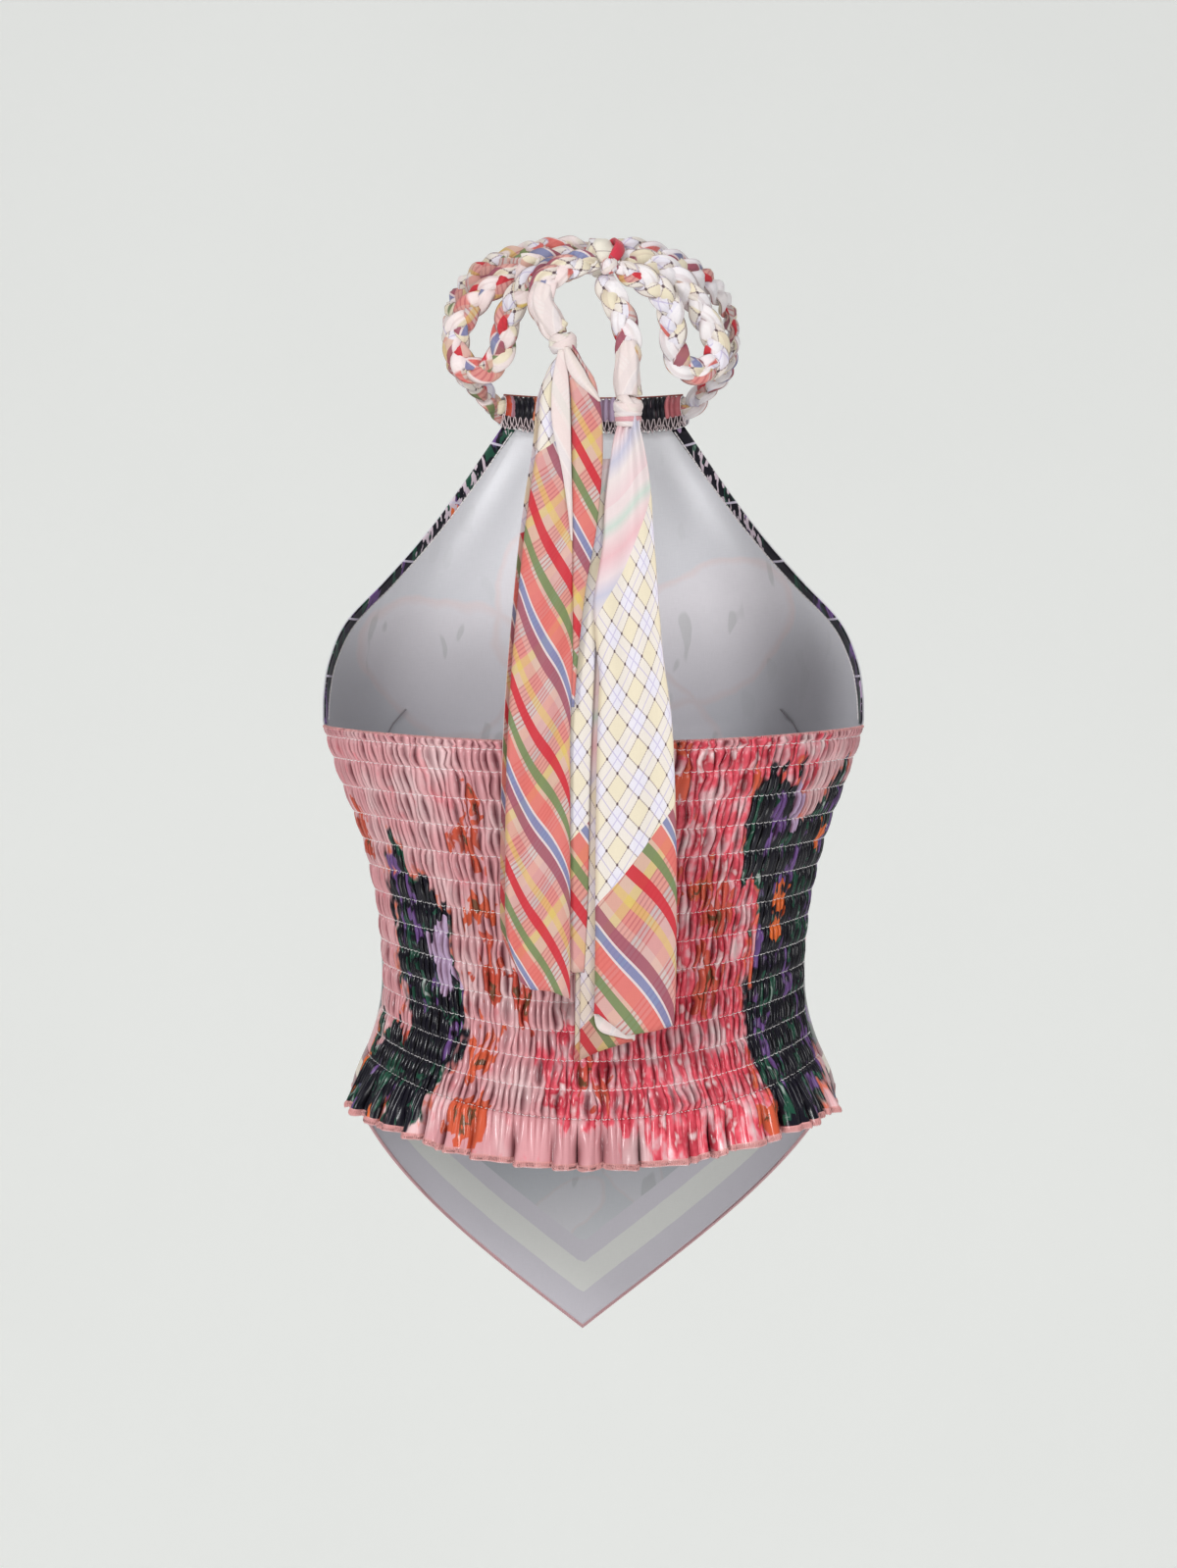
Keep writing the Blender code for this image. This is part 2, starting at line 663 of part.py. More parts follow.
def plait(name, route, facing, collection, mat, ends, smooth_length=0.0, smooth_radii=None, thin=False):
    """A plaited tube along a route, tapered at the ends named in ends.

    facing gives the direction that the flat of the plait looks in at a point. Over smooth_length
    from the route's far end the strands lie side by side, in an oval of smooth_radii. Where that
    stretch is hidden, thin leaves it only a third of its rings.
    """
    points = smooth_route(route, PLAIT_RING_STEP)
    total = sum((b - a).length for a, b in zip(points, points[1:]))
    step = total / (len(points) - 1)
    rings = []
    for k, centre in enumerate(points):
        if smooth_length and thin and total - k * step < smooth_length and (len(points) - 1 - k) % 3:
            continue
        ahead = (points[min(k + 1, len(points) - 1)] - points[max(k - 1, 0)]).normalized()
        look = facing(centre)
        look = (look - ahead * look.dot(ahead)).normalized()
        across = ahead.cross(look).normalized()
        along = k * step
        scale = 1.0
        if "start" in ends:
            scale = min(scale, PLAIT_END_SCALE + (1 - PLAIT_END_SCALE) * min(along / PLAIT_TAPER, 1.0))
        if "end" in ends:
            left = (total - along) / PLAIT_TAPER
            scale = min(scale, PLAIT_END_SCALE + (1 - PLAIT_END_SCALE) * min(left, 1.0))
        even = 0.0
        if smooth_length:
            inside = along + smooth_length - total
            even = min(max(inside / PLAIT_MERGE + 0.5, 0.0), 1.0)
        ring = []
        for s in range(PLAIT_SIDES):
            angle = 2 * math.pi * s / PLAIT_SIDES
            reach = plait_reach(angle, along)
            if even:
                oval = math.hypot(smooth_radii[0] * math.cos(angle), smooth_radii[1] * math.sin(angle))
                reach = reach * (1 - even) + oval * even
            ring.append(centre + scale * reach * (across * math.cos(angle) + look * math.sin(angle)))
        rings.append(ring)
    bm = bmesh.new()
    ring_loft(bm, rings, capped=True)
    add_object(name, bm, collection, mat)


def away_from_neck(point):
    return Vector((point.x, point.y, 0.0)).normalized()


def towards_back(_point):
    return Vector((0, -1, 0))


def neck_straps(collection, mat):
    """Two lengths of the plaited tie, each from the knot into the casing, where they meet."""
    for side, route in ((1, STRAP_RIGHT), (-1, STRAP_LEFT)):
        bend = [Vector((side * x, y, z)) for x, y, z in STRAP_BEND]
        inside = [casing_curve(side * x) for x in STRAP_INSIDE_X]
        points = list(reversed(route)) + bend + inside
        name = "neck_strap_right" if side > 0 else "neck_strap_left"
        plait(name, points, away_from_neck, collection, mat, ("start",), STRAP_SMOOTH_LENGTH,
              STRAP_SMOOTH_RADII, thin=True)


def lump(name, centre, radii, collection, mat, wraps):
    """A knot: a rounded lump with the ridges of the turns that are wrapped round it."""
    bm = bmesh.new()
    bmesh.ops.create_uvsphere(bm, u_segments=12, v_segments=8, radius=1.0)
    for vert in bm.verts:
        ridge = 1.0 + KNOT_RIDGE * (math.cos(wraps * math.pi * vert.co.x) - 0.5)
        vert.co = Vector((
            centre.x + vert.co.x * radii.x,
            centre.y + vert.co.y * radii.y * ridge,
            centre.z + vert.co.z * radii.z * ridge,
        ))
    add_object(name, bm, collection, mat)


def tail_cloth(name, table, collection, mat):
    """The loose end of the tie below its knot, folded in three and hanging open."""
    rows = []
    for line in table[1:]:
        z, left, right, middle_y = line
        row = []
        for across, layer in FOLDS[1:]:
            row.append(Vector((left + (right - left) * across, middle_y - layer * LAYER_STEP, z)))
        rows.append(row)
    last = rows[-1]
    for i, (across, layer) in enumerate(FOLDS[1:]):
        last[i].z -= TAIL_HEM_WAVE * math.sin(5 * across) + TAIL_HEM_STEP * (1 - layer)
    bm = bmesh.new()
    grid_rows(bm, rows)
    obj = add_object(name, bm, collection, mat)
    thicken(obj, TAIL_WALL)


def main():
    for old in list(bpy.data.objects):
        bpy.data.objects.remove(old)
    top = bpy.data.collections.new("halter_top")
    bpy.context.scene.collection.children.link(top)
    front_panel(top)
    back_panel(top)
    neck_casing(top)
    tie = material("tie_cotton", (0.88, 0.72, 0.66), 0.7)
    neck_straps(top, tie)
    lump("bow_knot", KNOT_CENTRE, KNOT_RADII, top, tie, KNOT_WRAPS)
    plait("bow_loop_right", LOOP_RIGHT, towards_back, top, tie, ("start", "end"))
    plait("bow_loop_left", LOOP_LEFT, towards_back, top, tie, ("start", "end"))
    plait("tail_braid_left", TAIL_LEFT, towards_back, top, tie, ("start",))
    plait("tail_braid_right", TAIL_RIGHT, towards_back, top, tie, ("start",), TAIL_SMOOTH_LENGTH,
          TAIL_SMOOTH_RADII)
    for side, table in (("left", CLOTH_LEFT), ("right", CLOTH_RIGHT)):
        lump("tail_knot_" + side, TAIL_KNOT_CENTRE[side], TAIL_KNOT_RADII[side], top, tie, TAIL_KNOT_WRAPS)
        tail_cloth("tail_cloth_" + side, table, top, tie)


main()
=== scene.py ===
"""Looks of a halter-neck crop top seen from behind: gathered satin back, smooth satin front, plaited tie.

Metres, +Z up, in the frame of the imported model. +X is the wearer's right and +Y the wearer's front.
"""

import math
import random

import bpy
import numpy as np
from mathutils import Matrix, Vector


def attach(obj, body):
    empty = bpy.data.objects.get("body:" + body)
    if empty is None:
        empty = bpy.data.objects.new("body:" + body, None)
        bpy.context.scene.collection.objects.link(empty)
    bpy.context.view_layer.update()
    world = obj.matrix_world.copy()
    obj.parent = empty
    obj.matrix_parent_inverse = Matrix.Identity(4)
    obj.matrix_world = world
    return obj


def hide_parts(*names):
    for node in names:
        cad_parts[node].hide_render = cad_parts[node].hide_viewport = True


bl_info = {
    "name": "Halter Top Dresser",
    "version": (1, 0, 0),
    "blender": (4, 5, 0),
    "location": "3D View > Sidebar > Halter Top",
    "description": "Makes the cloth, plaits, stitching and studio of a halter-neck crop top",
    "category": "Mesh",
}

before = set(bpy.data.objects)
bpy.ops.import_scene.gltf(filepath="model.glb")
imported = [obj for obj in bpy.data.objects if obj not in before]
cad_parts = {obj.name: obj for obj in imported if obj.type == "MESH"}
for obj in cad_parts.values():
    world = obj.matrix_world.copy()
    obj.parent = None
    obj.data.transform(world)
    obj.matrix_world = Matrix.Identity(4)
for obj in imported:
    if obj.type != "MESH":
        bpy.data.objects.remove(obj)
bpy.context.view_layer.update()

# Photograph: camera distance, picture height at the neck's depth, and the camera's own place
CAMERA_DISTANCE = 2.6
PICTURE_HEIGHT = 0.8635
CAMERA_X = -0.0027
CAMERA_Z = -0.2905
SENSOR_HEIGHT = 24.0

SEAM_GAP = 0.00035

# Size of the figure that the top fills: outer half width, front depth and back depth at each height
TORSO = (
    ("z", "half_width", "front", "back"),
    (-0.2575, 0.1482, 0.1290, 0.1000),
    (-0.2880, 0.1380, 0.1250, 0.0960),
    (-0.3100, 0.1296, 0.1190, 0.0915),
    (-0.3300, 0.1237, 0.1120, 0.0865),
    (-0.3530, 0.1190, 0.1040, 0.0805),
    (-0.3760, 0.1165, 0.0985, 0.0765),
    (-0.4000, 0.1160, 0.0960, 0.0750),
    (-0.4150, 0.1180, 0.0965, 0.0770),
    (-0.4300, 0.1225, 0.0985, 0.0805),
    (-0.4500, 0.1310, 0.1020, 0.0860),
    (-0.4700, 0.1340, 0.1050, 0.0900),
    (-0.5200, 0.1345, 0.1090, 0.0950),
    (-0.6100, 0.1345, 0.1130, 0.1000),
)

# Front panel above the underarm: its armhole edges and centre, and how far each row sweeps round
CHEST = (
    ("z", "half_width", "edge_y", "centre_y", "sweep"),
    (-0.0925, 0.0510, 0.0550, 0.0660, 60.0),
    (-0.1220, 0.0730, 0.0585, 0.0790, 64.0),
    (-0.1530, 0.0970, 0.0580, 0.0950, 70.0),
    (-0.1765, 0.1175, 0.0530, 0.1060, 76.0),
    (-0.2000, 0.1385, 0.0420, 0.1150, 82.0),
    (-0.2220, 0.1470, 0.0270, 0.1220, 88.0),
    (-0.2400, 0.1490, 0.0120, 0.1265, 91.0),
    (-0.2575, 0.1482, -0.0070, 0.1290, 94.0),
)

# Angle from the centre front to the side seam, in degrees
SIDE_SEAM = (
    ("z", "sweep"),
    (-0.2575, 94.0),
    (-0.3600, 96.5),
    (-0.4000, 99.5),
    (-0.4250, 103.0),
    (-0.4450, 103.5),
    (-0.4650, 100.0),
)

UNDERARM_Z = -0.2575
HEM_TIP_Z = -0.6030
HEM_RISE = 1.33
HEM_SWAY = -0.026
BUST_Z = -0.2600
BUST_X = 0.0700
BUST_RISE = 0.0120
BUST_SPREAD = 0.0430
NECK_FOLDS = 5
NECK_FOLD_DEPTH = 0.0026
NECK_FOLD_LENGTH = 0.0700

# Mesh steps of the front panel: across it, and down its chest, its sides and its skirt
FRONT_COLUMNS = 120
CHEST_ROWS = 56
SIDE_ROWS = 44
SKIRT_ROWS = 40
SKIRT_FROM_ROW = 11

# The armhole hem's width from top to bottom, as a share of its width at the top
ARMHOLE_WIDENING = ((0.0, 0.30, 0.65, 1.0), (1.0, 1.15, 1.75, 2.3))
ARMHOLE_COLUMNS = 6
ARMHOLE_CLOTH = 0.0005
ARMHOLE_OVERHANG = 0.0005
ARMHOLE_PUFF = 0.00025
TOPSTITCH_PLACE = 0.74
TOPSTITCH_LIFT = 0.0014
STITCH_LENGTH = 0.0027
STITCH_PITCH = 0.0030

SHIRR_TOP_Z = -0.2682
SHIRR_HEADING = 0.0052
SHIRR_FIRST_GAP = 0.0119
SHIRR_GAP = 0.0153
SHIRR_ROWS = 14
SHIRR_DROOP_TOP = 0.0100
SHIRR_DROOP_LOW = 0.0310
FRILL_DROP = 0.0265
FRILL_STEPS = 18
FRILL_STAND = 0.0082
FRILL_WAVE = 0.0018
FRILL_LEAN = 0.0052
FRILL_GROOVE = 0.0072
FRILL_EDGE_SLANT = 0.0016
FRILL_EDGE_DIP = 0.0010

CASING_HALF_WIDTH = 0.0515
CASING_Z = -0.0825
CASING_HALF_HEIGHT = 0.0096
CASING_HALF_DEPTH = 0.0075
CASING_CLOTH = 0.0007
CASING_RINGS = 420
CASING_SIDES = 28
CASING_GATHERS = 27
CASING_SWELL = 0.00080

PLAIT_SWING = 0.0034
PLAIT_DEPTH_SWING = 0.0020
PLAIT_PITCH = 0.0360
PLAIT_PRINT_WIDTH = 0.018
PLAIT_STEP = 0.0011
STRAND_SIDES = 22
STRAND_HALF_WIDTH = 0.0041
STRAND_HALF_DEPTH = 0.0018

# A plait narrows to this share over this length at an end that goes into a knot
END_SHARE = 0.55
END_LENGTH = 0.009

# Length over which the strands stop swinging where a plait ends in even strands
EVEN_BLEND = 0.008

KNOT_CENTRE = Vector((0.0041, -0.0700, -0.0088))
KNOT_RADII = Vector((0.0100, 0.0125, 0.0122))

# Routes of the plaits, each point listed
STRAP_RIGHT = (
    (0.0722, 0.0300, -0.0612), (0.0752, 0.0180, -0.0556), (0.0772, 0.0040, -0.0466),
    (0.0758, -0.0080, -0.0375), (0.0717, -0.0210, -0.0281), (0.0650, -0.0320, -0.0205),
    (0.0551, -0.0430, -0.0138), (0.0422, -0.0510, -0.0080), (0.0300, -0.0560, -0.0046),
    (0.0200, -0.0590, -0.0030), (0.0094, -0.0604, -0.0024),
)
STRAP_LEFT = (
    (-0.0722, 0.0300, -0.0616), (-0.0772, 0.0180, -0.0556), (-0.0795, 0.0040, -0.0466),
    (-0.0791, -0.0080, -0.0380), (-0.0761, -0.0200, -0.0300), (-0.0710, -0.0310, -0.0222),
    (-0.0632, -0.0410, -0.0150), (-0.0519, -0.0490, -0.0095), (-0.0391, -0.0540, -0.0056),
    (-0.0264, -0.0575, -0.0034), (-0.0132, -0.0595, -0.0026), (-0.0028, -0.0604, -0.0026),
)
LOOP_RIGHT = (
    (0.0145, -0.0690, -0.0098), (0.0225, -0.0695, -0.0101), (0.0357, -0.0690, -0.0131),
    (0.0452, -0.0670, -0.0191), (0.0526, -0.0640, -0.0275), (0.0585, -0.0615, -0.0369),
    (0.0638, -0.0605, -0.0462), (0.0669, -0.0605, -0.0557), (0.0659, -0.0620, -0.0636),
    (0.0597, -0.0650, -0.0686), (0.0517, -0.0680, -0.0691), (0.0456, -0.0700, -0.0645),
    (0.0430, -0.0720, -0.0566), (0.0424, -0.0740, -0.0476), (0.0414, -0.0765, -0.0390),
    (0.0389, -0.0785, -0.0317), (0.0344, -0.0800, -0.0258), (0.0277, -0.0808, -0.0215),
    (0.0204, -0.0808, -0.0182), (0.0131, -0.0798, -0.0148),
)
LOOP_LEFT = (
    (-0.0061, -0.0690, -0.0098), (-0.0190, -0.0700, -0.0097), (-0.0326, -0.0705, -0.0118),
    (-0.0448, -0.0690, -0.0182), (-0.0565, -0.0665, -0.0256), (-0.0645, -0.0640, -0.0332),
    (-0.0698, -0.0625, -0.0412), (-0.0734, -0.0620, -0.0493), (-0.0727, -0.0625, -0.0587),
    (-0.0690, -0.0640, -0.0655), (-0.0630, -0.0660, -0.0687), (-0.0558, -0.0680, -0.0673),
    (-0.0508, -0.0700, -0.0614), (-0.0484, -0.0720, -0.0537), (-0.0468, -0.0745, -0.0449),
    (-0.0436, -0.0770, -0.0362), (-0.0388, -0.0790, -0.0287), (-0.0325, -0.0805, -0.0224),
    (-0.0240, -0.0812, -0.0178), (-0.0150, -0.0812, -0.0155), (-0.0049, -0.0798, -0.0144),
)
TAIL_LEFT = (
    (0.0018, -0.0834, -0.0120), (-0.0050, -0.0869, -0.0130), (-0.0125, -0.0898, -0.0152),
    (-0.0200, -0.0915, -0.0190), (-0.0258, -0.0920, -0.0250), (-0.0278, -0.0920, -0.0325),
    (-0.0252, -0.0917, -0.0405), (-0.0184, -0.0913, -0.0503),
)
TAIL_RIGHT = (
    (0.0066, -0.0774, -0.0192), (0.0074, -0.0817, -0.0246), (0.0102, -0.0855, -0.0315),
    (0.0138, -0.0880, -0.0395), (0.0168, -0.0892, -0.0475), (0.0180, -0.0900, -0.0552),
    (0.0182, -0.0905, -0.0647), (0.0176, -0.0910, -0.0742), (0.0180, -0.0915, -0.0844),
)

TAIL_KNOT_CENTRE = {
    "left": Vector((-0.0163, -0.0912, -0.0562)),
    "right": Vector((0.0184, -0.0922, -0.0898)),
}
TAIL_KNOT_RADII = {
    "left": Vector((0.0072, 0.0064, 0.0054)),
    "right": Vector((0.0074, 0.0066, 0.0050)),
}

# Tilt of each tail knot's turns and its number of thread rings, and the cloth gathered above it
TAIL_KNOTS = (("left", 0.5, 0), ("right", 0.0, 3))
TAIL_WRAPS = (
    ("left", TAIL_LEFT, (0.0052, 0.0066, 0.0070, 0.0054)),
    ("right", TAIL_RIGHT, (0.0048, 0.0062, 0.0068, 0.0070, 0.0062)),
)

# Places across inside the casing, and how a strap bends from the casing's end to its own route
STRAP_INSIDE = (0.0005, 0.014, 0.028, 0.040, 0.0515)
STRAP_BEND = ((0.0561, 0.0527, -0.0783), (0.0604, 0.0485, -0.0722), (0.0660, 0.0400, -0.0664))
STRAP_EVEN_LENGTH = 0.060

# Hanging cloth of each tail: its left and right edge and the depth of its middle at each height
CLOTH_LEFT = (
    ("z", "left", "right", "middle_y"),
    (-0.0600, -0.0190, -0.0120, -0.0920),
    (-0.0650, -0.0235, -0.0085, -0.0930),
    (-0.0690, -0.0262, -0.0066, -0.0935),
    (-0.0814, -0.0303, 0.0010, -0.0955),
    (-0.1051, -0.0323, 0.0036, -0.0980),
    (-0.1318, -0.0364, 0.0034, -0.1005),
    (-0.1558, -0.0395, -0.0004, -0.1025),
    (-0.1870, -0.0425, -0.0048, -0.1045),
    (-0.2238, -0.0457, -0.0094, -0.1060),
    (-0.2595, -0.0478, -0.0121, -0.1068),
    (-0.2962, -0.0490, -0.0124, -0.1068),
    (-0.3324, -0.0492, -0.0124, -0.1066),
    (-0.3727, -0.0488, -0.0124, -0.1064),
    (-0.4000, -0.0440, -0.0124, -0.1062),
)
CLOTH_RIGHT = (
    ("z", "left", "right", "middle_y"),
    (-0.0930, 0.0135, 0.0235, -0.0930),
    (-0.0955, 0.0130, 0.0240, -0.0930),
    (-0.1037, 0.0108, 0.0245, -0.0942),
    (-0.1169, 0.0087, 0.0272, -0.0960),
    (-0.1359, 0.0062, 0.0301, -0.0985),
    (-0.1578, 0.0052, 0.0316, -0.1010),
    (-0.1870, 0.0004, 0.0337, -0.1035),
    (-0.2238, -0.0044, 0.0365, -0.1055),
    (-0.2595, -0.0074, 0.0412, -0.1068),
    (-0.2962, -0.0088, 0.0430, -0.1070),
    (-0.3324, -0.0094, 0.0438, -0.1068),
    (-0.3727, -0.0096, 0.0438, -0.1066),
    (-0.4057, -0.0098, 0.0433, -0.1064),
    (-0.4230, -0.0100, 0.0424, -0.1062),
)

# The folds of a tail from its top layer down: place across it from left to right, and layer
FOLDS_LEFT = (
    ("across", "layer"),
    (1.00, 0.95),
    (0.80, 1.12),
    (0.55, 1.05),
    (0.30, 1.12),
    (0.13, 1.00),
    (0.08, 0.55),
    (0.13, 0.05),
    (0.46, 0.00),
    (0.50, -0.50),
    (0.44, -0.95),
    (0.20, -1.00),
    (0.00, -0.95),
)
FOLDS_RIGHT = (
    ("across", "layer"),
    (1.00, 0.95),
    (0.80, 1.12),
    (0.58, 1.05),
    (0.38, 1.12),
    (0.24, 1.00),
    (0.20, 0.55),
    (0.26, 0.05),
    (0.55, 0.00),
    (0.60, -0.30),
    (0.50, -0.50),
    (0.20, -0.55),
    (0.05, -0.70),
    (0.10, -1.00),
    (0.00, -1.05),
)
LAYER_STEP = 0.0028
TAIL_ROWS = 110
TURNED_ROWS = 60
TURNED_COLUMNS = 14
TURNED_CLOTH = 0.0006

# How far the lower end of a tail's front and back layer lies above the end of its table
TAIL_ENDS = {
    "left": (
        ("across", "front", "back"),
        (0.00, 0.0240, 0.0190),
        (0.17, 0.0050, 0.0080),
        (0.35, 0.0010, 0.0030),
        (0.70, 0.0000, 0.0000),
        (1.00, -0.0040, -0.0020),
    ),
    "right": (
        ("across", "front", "back"),
        (0.00, 0.0120, -0.0146),
        (0.24, 0.0110, -0.0090),
        (0.52, -0.0003, -0.0043),
        (0.80, 0.0020, -0.0030),
        (1.00, 0.0050, 0.0000),
    ),
}
TAIL_END_LENGTH = 0.060

# How far the top layer's left fold slides outwards above these heights, as a share of the width
FRONT_SLIDES = {"left": 0.0, "right": 0.25}
SLIDE_HEIGHTS = (-0.228, -0.190)

# Folds that lie on a tail: how each widens on its way down, and how far it stands off the tail
TURNED_EDGES = {
    "left_side_fold": {
        "printed": True,
        "print_shift": 0.0036,
        "bulge": 0.0010,
        "shape": (
            ("z", "left", "right", "lift"),
            (-0.0690, -0.0140, -0.0100, 0.0002),
            (-0.0760, -0.0130, -0.0050, 0.0006),
            (-0.0840, -0.0122, 0.0018, 0.0008),
            (-0.0920, -0.0118, 0.0040, 0.0008),
            (-0.1180, -0.0116, 0.0048, 0.0008),
            (-0.1550, -0.0113, 0.0016, 0.0008),
            (-0.1870, -0.0110, -0.0042, 0.0006),
            (-0.2238, -0.0108, -0.0084, 0.0004),
            (-0.2500, -0.0116, -0.0104, 0.0002),
        ),
    },
    "left_pale_fold": {
        "printed": False,
        "print_shift": 0.0,
        "bulge": 0.0008,
        "shape": (
            ("z", "left", "right", "lift"),
            (-0.0600, -0.0185, -0.0155, 0.0010),
            (-0.0690, -0.0205, -0.0140, 0.0012),
            (-0.0810, -0.0222, -0.0130, 0.0014),
            (-0.1010, -0.0218, -0.0122, 0.0014),
            (-0.1240, -0.0168, -0.0118, 0.0012),
            (-0.1460, -0.0135, -0.0113, 0.0010),
            (-0.1620, -0.0118, -0.0112, 0.0008),
        ),
    },
    "right_under_fold": {
        "printed": True,
        "print_shift": 0.0450,
        "bulge": 0.0008,
        "shape": (
            ("z", "left", "right", "lift"),
            (-0.1180, 0.0030, 0.0100, -0.0040),
            (-0.1400, -0.0010, 0.0085, -0.0040),
            (-0.1700, -0.0070, 0.0060, -0.0042),
            (-0.2050, -0.0115, 0.0020, -0.0042),
            (-0.2400, -0.0140, 0.0000, -0.0042),
            (-0.2900, -0.0150, -0.0020, -0.0042),
            (-0.3500, -0.0150, -0.0030, -0.0042),
            (-0.3900, -0.0140, -0.0050, -0.0042),
        ),
    },
    "left_lip": {
        "printed": False,
        "print_shift": 0.0,
        "bulge": 0.0016,
        "shape": (
            ("z", "left", "right", "lift"),
            (-0.0590, -0.0160, -0.0130, 0.0014),
            (-0.0650, -0.0150, -0.0090, 0.0020),
            (-0.0710, -0.0136, -0.0052, 0.0022),
            (-0.0770, -0.0096, -0.0022, 0.0020),
            (-0.0830, -0.0030, 0.0016, 0.0016),
            (-0.0880, 0.0028, 0.0038, 0.0012),
        ),
    },
}


def colour_property(label, about, default):
    return bpy.props.FloatVectorProperty(
        name=label, description=about, default=default, size=3, min=0.0, max=1.0, subtype="COLOR"
    )


def length_property(label, about, default, low, high):
    return bpy.props.FloatProperty(
        name=label, description=about, default=default, min=low, max=high, unit="LENGTH"
    )


def count_property(label, about, default, low, high):
    return bpy.props.IntProperty(name=label, description=about, default=default, min=low, max=high)


class HalterSizes(bpy.types.PropertyGroup):
    """Sizes that a user would change."""

    cloth: length_property("Satin thickness", "Thickness of the satin panels", 0.0008, 0.0004, 0.002)
    gathers: count_property("Gathers", "Gathers of the shirred back from seam to seam", 96, 40, 100)
    gather_height: length_property(
        "Gather height", "How far a gather stands out between two rows of elastic", 0.0031, 0.0005, 0.004
    )
    back_flat_width: length_property(
        "Back cut width", "Width of the back panel before it is gathered", 0.50, 0.4, 0.8
    )
    frill_pleats: count_property(
        "Frill pleats", "Pleats of the frill below the last row of elastic", 21, 10, 50
    )
    thread: length_property("Thread radius", "Radius of the sewing thread", 0.00024, 0.0001, 0.0006)
    armhole_hem: length_property(
        "Armhole hem width", "Width of the turned armhole hems at their top", 0.0078, 0.003, 0.01
    )
    tail_cloth: length_property(
        "Tail cloth thickness", "Thickness of the tie's cotton", 0.0007, 0.0003, 0.002
    )


class HalterColours(bpy.types.PropertyGroup):
    """Colours that a user would change."""

    pink: colour_property("Pink", "Ground of the floral print", (0.73, 0.35, 0.375))
    blush: colour_property("Blush", "Pale petals", (0.80, 0.54, 0.55))
    coral: colour_property("Coral", "Large petals", (0.84, 0.115, 0.16))
    navy: colour_property("Navy", "Dark ground of the print", (0.006, 0.005, 0.012))
    orange: colour_property("Orange", "Small blossoms", (0.80, 0.16, 0.035))
    violet: colour_property("Violet", "Violet touches", (0.16, 0.075, 0.26))
    leaf: colour_property("Leaf", "Leaves on the dark ground", (0.012, 0.075, 0.045))
    reverse: colour_property("Satin reverse", "Unprinted side of the satin", (0.885, 0.885, 0.93))
    thread: colour_property("Thread", "Elastic and topstitching thread", (0.86, 0.82, 0.82))
    overlock: colour_property("Overlock", "Overlocked hems", (0.74, 0.36, 0.35))
    cream: colour_property("Cream", "Cream of the bow's knot", (0.78, 0.73, 0.63))
    red: colour_property("Red", "Red strip of the bow's knot", (0.60, 0.02, 0.05))
    backdrop: colour_property("Backdrop", "Floor and backdrop", (0.75, 0.76, 0.745))


# Reading the tables and laying out points


def column_values(table, z):
    """Values of a table's columns at a height, on a smooth curve through its rows."""
    rows = table[1:]
    last = len(rows) - 1
    if z >= rows[0][0]:
        return rows[0][1:]
    if z <= rows[last][0]:
        return rows[last][1:]
    low = max(i for i in range(last) if rows[i][0] >= z)
    before, here, there, after = (rows[min(max(k, 0), last)] for k in range(low - 1, low + 3))
    span = there[0] - here[0]
    t = (z - here[0]) / span

    def hermite(col):
        into = (there[col] - before[col]) / ((there[0] - before[0]) or span) * span
        out = (after[col] - here[col]) / ((after[0] - here[0]) or span) * span
        return (
            (2 * t**3 - 3 * t**2 + 1) * here[col]
            + (t**3 - 2 * t**2 + t) * into
            + (3 * t**2 - 2 * t**3) * there[col]
            + (t**3 - t**2) * out
        )

    return tuple(hermite(col) for col in range(1, len(here)))


class Columns:
    """A table's columns as smooth functions of height, for whole arrays of heights."""

    SAMPLES = 600

    def __init__(self, table):
        self.heights = np.linspace(table[-1][0], table[1][0], self.SAMPLES)
        self.values = np.array([column_values(table, z) for z in self.heights])

    def at(self, z):
        return [np.interp(z, self.heights, column) for column in self.values.T]


TORSO_COLUMNS = Columns(TORSO)
CHEST_COLUMNS = Columns(CHEST)
SEAM_COLUMNS = Columns(SIDE_SEAM)


def stacked(x, y, z):
    return np.stack(np.broadcast_arrays(x, y, z), axis=-1).astype(float)


def torso_points(z, sweep, out=0.0):
    """Points on the figure at heights and angles from its centre front, moved out by a distance."""
    half_width, front, back = TORSO_COLUMNS.at(z)
    depth = np.where(np.cos(sweep) >= 0.0, front, back)
    normal_x = np.sin(sweep) / half_width
    normal_y = np.cos(sweep) / depth
    size = np.hypot(normal_x, normal_y)
    x = half_width * np.sin(sweep) + normal_x / size * out
    y = depth * np.cos(sweep) + normal_y / size * out
    return stacked(x, y, z)


def seam_sweep(z):
    return np.radians(SEAM_COLUMNS.at(z)[0])


def casing_line(x):
    """Centre line of the neck casing."""
    across = x / CASING_HALF_WIDTH
    return stacked(x, 0.066 - 0.011 * across**2, CASING_Z + 0.002 * across**4)


